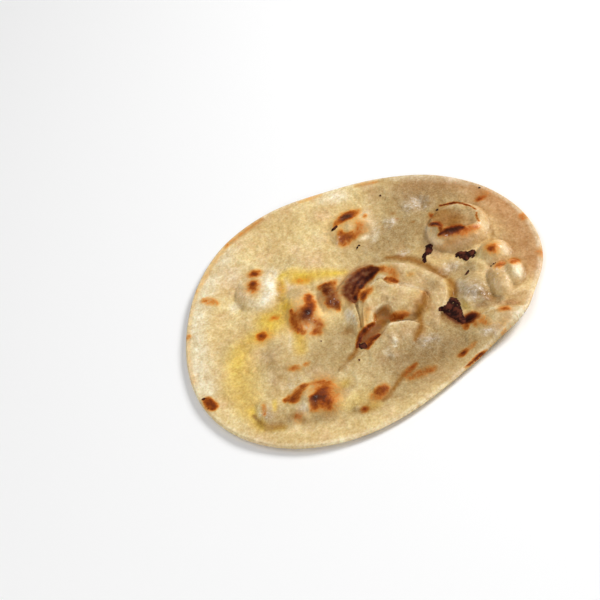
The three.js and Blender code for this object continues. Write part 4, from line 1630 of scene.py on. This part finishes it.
@dataclass
class Roti:
    """The roti itself: one closed sheet of baked dough.

    Marks are set by where they show on the table, moved by mark_shift, and they sway a little so that
    no edge is even.
    """

    sheet: Sheet = field(default_factory=Sheet)
    sight: Sight = field(default_factory=Sight)
    finish: BreadFinish = field(default_factory=BreadFinish)
    top_rings: int = 140
    under_rings: int = 35
    first_rings: int = 7
    fine_within: float = 3.0
    weld: float = 1e-6
    mark_shift: Place = (1.5, 6.0)
    sway_across: tuple[Lumps, ...] = (Lumps(0.6, 5.0, 11.3), Lumps(0.35, 1.4, 23.1))
    sway_along: tuple[Lumps, ...] = (Lumps(0.6, 5.0, 17.9), Lumps(0.35, 1.4, 29.7))
    scrap_height: float = 0.5
    scrap_span: Span = (0.4, 0.9)
    wet_rumple: float = 1.2
    toast_spread: float = 0.8
    crease_reach: float = 2.4
    crease_sides: int = 6
    # Strength of the painted shade in hollows, and of the painted highlights on crests and along the rim
    crease_shade: float = 0.3
    crease_span: Span = (0.1, 1.0)
    crest_highlight: float = 0.12
    crest_span: Span = (0.1, 0.8)
    rim_highlight: float = 0.3
    rim_highlight_span: Span = (0.965, 0.985)

    def build(self) -> bpy.types.Object:
        """Builds the roti's mesh.

        Returns:
            The finished piece.
        """
        top = self._disc("dough_sheet", self.top_rings, 1)
        self._refine(top)
        x, y = self._plan(top)
        height = self.sheet.top(x, y)
        cover = self._paint(top, x, y, height)
        rumple = 1.0 + self.wet_rumple * cover[Tone.GLOSS_AND_SHEEN]
        height = height + self.sheet.texture(x, y) * rumple
        height = height + self.scrap_height * ease(cover[Tone.CHAR], *self.scrap_span)
        self._place(top, x, y, height)

        base = self._disc("underside", self.under_rings, self.top_rings // self.under_rings)
        x, y = self._plan(base)
        self._place(base, x, y, self.sheet.underside(x, y))
        return self._close(top, base)

    def _disc(self, name: str, rings: int, rim_cuts: int) -> bpy.types.Object:
        """A flat disc of even triangles.

        Args:
            name: The piece's name.
            rings: Rings of triangles round the middle.
            rim_cuts: Into how many each edge on the rim is cut.

        Returns:
            The disc, still a hexagon of unit size.
        """
        bpy.ops.object.select_all(action="DESELECT")
        bpy.ops.mesh.primitive_circle_add(vertices=6, radius=1.0, fill_type="TRIFAN")
        disc = bpy.context.object
        disc.name = name
        disc.data.name = name
        bpy.ops.object.mode_set(mode="EDIT")
        bpy.ops.mesh.select_all(action="SELECT")
        bpy.ops.mesh.subdivide(number_cuts=self.first_rings - 1)
        bpy.ops.mesh.subdivide(number_cuts=rings // self.first_rings - 1)
        if rim_cuts > 1:
            bpy.ops.mesh.select_all(action="SELECT")
            bpy.ops.mesh.region_to_loop()
            bpy.ops.mesh.subdivide(number_cuts=rim_cuts - 1)
        bpy.ops.object.mode_set(mode="OBJECT")
        return disc

    def _plan(self, disc: bpy.types.Object) -> tuple[Array, Array]:
        """The place of each point of a disc, once its hexagon is drawn out to the roti's outline.

        Args:
            disc: A disc that is still a hexagon.

        Returns:
            The places across and along.
        """
        flat = np.empty(len(disc.data.vertices) * 3)
        disc.data.vertices.foreach_get("co", flat)
        x, y = flat[0::3], flat[1::3]
        sixth = math.pi / 3.0
        angle = np.arctan2(y, x) - math.pi / 2.0
        sector = np.floor(angle / sixth + 1e-9)
        local = angle - (sector + 0.5) * sixth
        share = np.hypot(x, y) * np.cos(local) / math.cos(sixth / 2.0)
        along = 0.5 + 0.5 * np.tan(local) / math.tan(sixth / 2.0)
        turn = (sector + along) * sixth + math.pi / 2.0
        turn = np.arctan2(np.sin(turn), np.cos(turn))
        radius = share * self.sheet.outline.radius(turn)
        return radius * np.cos(turn), radius * np.sin(turn)

    def _refine(self, disc: bpy.types.Object) -> None:
        """Cuts the faces along steep edges finer.

        Args:
            disc: The blistered side, still a hexagon.
        """
        x, y = self._plan(disc)
        lips = (self.sheet.outer_lip.run, self.sheet.front_lip.run, self.sheet.flap.rim)
        near = np.any([nearest_on(lip, x, y)[0] < self.fine_within for lip in lips], axis=0)
        distance, width, _ = nearest_on(self.sheet.slot.run, x, y)
        near |= np.abs(distance - width) < self.fine_within
        faces = np.empty(len(disc.data.polygons) * 3, int)
        disc.data.polygons.foreach_get("vertices", faces)
        chosen = near[faces.reshape(-1, 3)].all(axis=1)
        bpy.ops.object.mode_set(mode="EDIT")
        bpy.ops.mesh.select_mode(type="FACE")
        bpy.ops.mesh.select_all(action="DESELECT")
        bpy.ops.object.mode_set(mode="OBJECT")
        disc.data.polygons.foreach_set("select", chosen)
        bpy.ops.object.mode_set(mode="EDIT")
        bpy.ops.mesh.subdivide(number_cuts=1)
        bpy.ops.object.mode_set(mode="OBJECT")

    def _place(self, disc: bpy.types.Object, x: Array, y: Array, z: Array) -> None:
        """Moves the points of a disc to their places in the part's frame, with the rim rounded.

        Args:
            disc: The side of the bread that is shaped.
            x: Places across.
            y: Places along.
            z: Heights before the rim is rounded.
        """
        middle = self.sheet.underside(x, y) + self.sheet.rim_thickness / 2.0
        z = middle + (z - middle) * self.sheet.rim_rounding(x, y)
        centre = self.sheet.outline.centre
        points = np.column_stack([x + centre[0], y + centre[1], z]) * MM
        disc.data.vertices.foreach_set("co", points.ravel())
        disc.data.update()

    def _paint(self, disc: bpy.types.Object, x: Array, y: Array, z: Array) -> dict[Tone, Array]:
        """Writes the strength of each kind of mark to the mesh.

        Args:
            disc: The blistered side.
            x: Places across.
            y: Places along.
            z: Heights.

        Returns:
            The strength of each kind of mark.
        """
        u, v = self.sight.on_table(x, y, z)
        u = u + self.mark_shift[0] + sum(layer.rise(u, v) for layer in self.sway_across)
        v = v + self.mark_shift[1] + sum(layer.rise(u, v) for layer in self.sway_along)
        free = {tone: np.ones(x.shape) for tone in Tone}
        for mark in MARKS:
            free[mark.tone] *= 1.0 - mark.cover(u, v)
        # Painted shade in the hollows, standing also for butter pooled there, and painted highlights on
        # crests and the rim
        hollow = self._hollow(x, y)
        free[Tone.HONEY_AND_SHADE] *= 1.0 - self.crease_shade * ease(hollow, *self.crease_span)
        free[Tone.PALE_AND_HIGHLIGHT] *= 1.0 - self.crest_highlight * ease(-hollow, *self.crest_span)
        free[Tone.PALE_AND_HIGHLIGHT] *= 1.0 - self.rim_highlight * ease(self.sheet.outline.share(x, y), *self.rim_highlight_span)
        cover = {tone: 1.0 - share for tone, share in free.items()}
        cover[Tone.TOAST] = free[Tone.BARE] * cover[Tone.TOAST] ** self.toast_spread
        for tone, strength in cover.items():
            layer = disc.data.attributes.new(tone.value, "FLOAT", "POINT")
            layer.data.foreach_set("value", strength.astype(np.float32))
        return cover

    def _hollow(self, x: Array, y: Array) -> Array:
        """How far each place lies below what is round it, so that creases and crests can be told apart.

        Args:
            x: Places across.
            y: Places along.

        Returns:
            The depth, which is below 0 on a crest.
        """
        around = np.zeros(x.shape)
        for turn in np.arange(self.crease_sides) * 2.0 * math.pi / self.crease_sides:
            aside = self.crease_reach * math.cos(turn)
            ahead = self.crease_reach * math.sin(turn)
            around += self.sheet.relief(x + aside, y + ahead)
        return around / self.crease_sides - self.sheet.relief(x, y)

    def _close(self, top: bpy.types.Object, base: bpy.types.Object) -> bpy.types.Object:
        """Joins the two sides along the rim.

        Args:
            top: The blistered side.
            base: The underside.

        Returns:
            The two as one closed piece.
        """
        bpy.ops.object.select_all(action="DESELECT")
        base.select_set(True)
        bpy.context.view_layer.objects.active = base
        bpy.ops.object.mode_set(mode="EDIT")
        bpy.ops.mesh.select_all(action="SELECT")
        bpy.ops.mesh.flip_normals()
        bpy.ops.object.mode_set(mode="OBJECT")
        top.select_set(True)
        bpy.context.view_layer.objects.active = top
        bpy.ops.object.join()
        bpy.ops.object.mode_set(mode="EDIT")
        bpy.ops.mesh.select_all(action="SELECT")
        bpy.ops.mesh.remove_doubles(threshold=self.weld)
        bpy.ops.mesh.normals_make_consistent(inside=False)
        bpy.ops.object.mode_set(mode="OBJECT")
        bpy.ops.object.shade_smooth()
        return top

    def dress(self, piece: bpy.types.Object) -> None:
        """Gives the piece its finish and ties it to the frame.

        Args:
            piece: The finished mesh.
        """
        piece.data.materials.clear()
        piece.data.materials.append(self.finish.build())
        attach(piece, "root")
        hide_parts("roti")


@dataclass(frozen=True)
class SoftBox:
    """A round soft light that faces the bread: its name, place, width and power."""

    name: str
    place: tuple[float, float, float]
    width: float
    power: float

    def build(self) -> None:
        """Adds the light."""
        data = bpy.data.lights.new(self.name, "AREA")
        data.shape = "DISK"
        data.size = self.width
        data.energy = self.power
        lamp = bpy.data.objects.new(self.name, data)
        lamp.location = self.place
        lamp.rotation_euler = (-Vector(self.place)).to_track_quat("-Z", "Y").to_euler()
        bpy.context.scene.collection.objects.link(lamp)


@dataclass
class Studio:
    """A pale floor, soft light and the camera, with the studio's own sizes in metres."""

    sight: Sight = field(default_factory=Sight)
    floor_size: float = 6.0
    floor_drop: float = 0.0004
    floor_colour: Colour = (0.95, 0.95, 0.95)
    floor_roughness: float = 0.9
    sky_colour: Colour = (1.0, 1.0, 1.0)
    sky_strength: float = 0.24
    sensor_width: float = 36.0
    lights: tuple[SoftBox, ...] = (
        SoftBox("key", (1.0, 0.25, 0.7), 0.45, 14.5),
        SoftBox("top", (-0.35, 0.05, 1.5), 1.3, 4.5),
        SoftBox("fill", (-0.7, -0.9, 0.8), 0.9, 5.5),
    )

    def build(self, centre: Place) -> None:
        """Builds the floor, the lights and the camera.

        Args:
            centre: The outline's centre in the part's frame.
        """
        self._floor()
        for light in self.lights:
            light.build()
        self._sky()
        self._camera(centre)
        bpy.context.scene.view_settings.view_transform = "Standard"

    def _floor(self) -> None:
        """Adds the floor, just under the bread."""
        bpy.ops.object.select_all(action="DESELECT")
        bpy.ops.mesh.primitive_plane_add(size=self.floor_size, location=(0.0, 0.0, -self.floor_drop))
        floor = bpy.context.object
        floor.name = "floor"
        paint = bpy.data.materials.new("floor_paint")
        paint.use_nodes = True
        shader = paint.node_tree.nodes["Principled BSDF"]
        shader.inputs["Base Color"].default_value = (*self.floor_colour, 1.0)
        shader.inputs["Roughness"].default_value = self.floor_roughness
        floor.data.materials.append(paint)

    def _sky(self) -> None:
        """Adds the even light from all round."""
        world = bpy.data.worlds.new("studio")
        bpy.context.scene.world = world
        world.use_nodes = True
        background = world.node_tree.nodes["Background"]
        background.inputs["Color"].default_value = (*self.sky_colour, 1.0)
        background.inputs["Strength"].default_value = self.sky_strength

    def _camera(self, centre: Place) -> None:
        """Adds the camera at the photograph's angle.

        Args:
            centre: The outline's centre in the part's frame.
        """
        data = bpy.data.cameras.new("camera")
        data.lens = self.sight.lens
        data.sensor_width = self.sensor_width
        camera = bpy.data.objects.new("camera", data)
        place = (self.sight.eye + Vector((*centre, 0.0))) * MM
        tilt = Matrix.Rotation(math.radians(90.0 - self.sight.elevation), 4, "X")
        roll = Matrix.Rotation(math.radians(-self.sight.roll), 4, "Z")
        camera.matrix_world = Matrix.Translation(place) @ tilt @ roll
        bpy.context.scene.collection.objects.link(camera)
        bpy.context.scene.camera = camera


def main() -> None:
    """Builds the roti and its studio, and notes how many faces the roti has."""
    logging.basicConfig(level=logging.INFO, format="%(name)s: %(message)s")
    roti = Roti()
    piece = roti.build()
    roti.dress(piece)
    LOG.info("%s has %d faces", piece.name, len(piece.data.polygons))
    Studio(sight=roti.sight).build(roti.sheet.outline.centre)


if __name__ == "__main__":
    main()
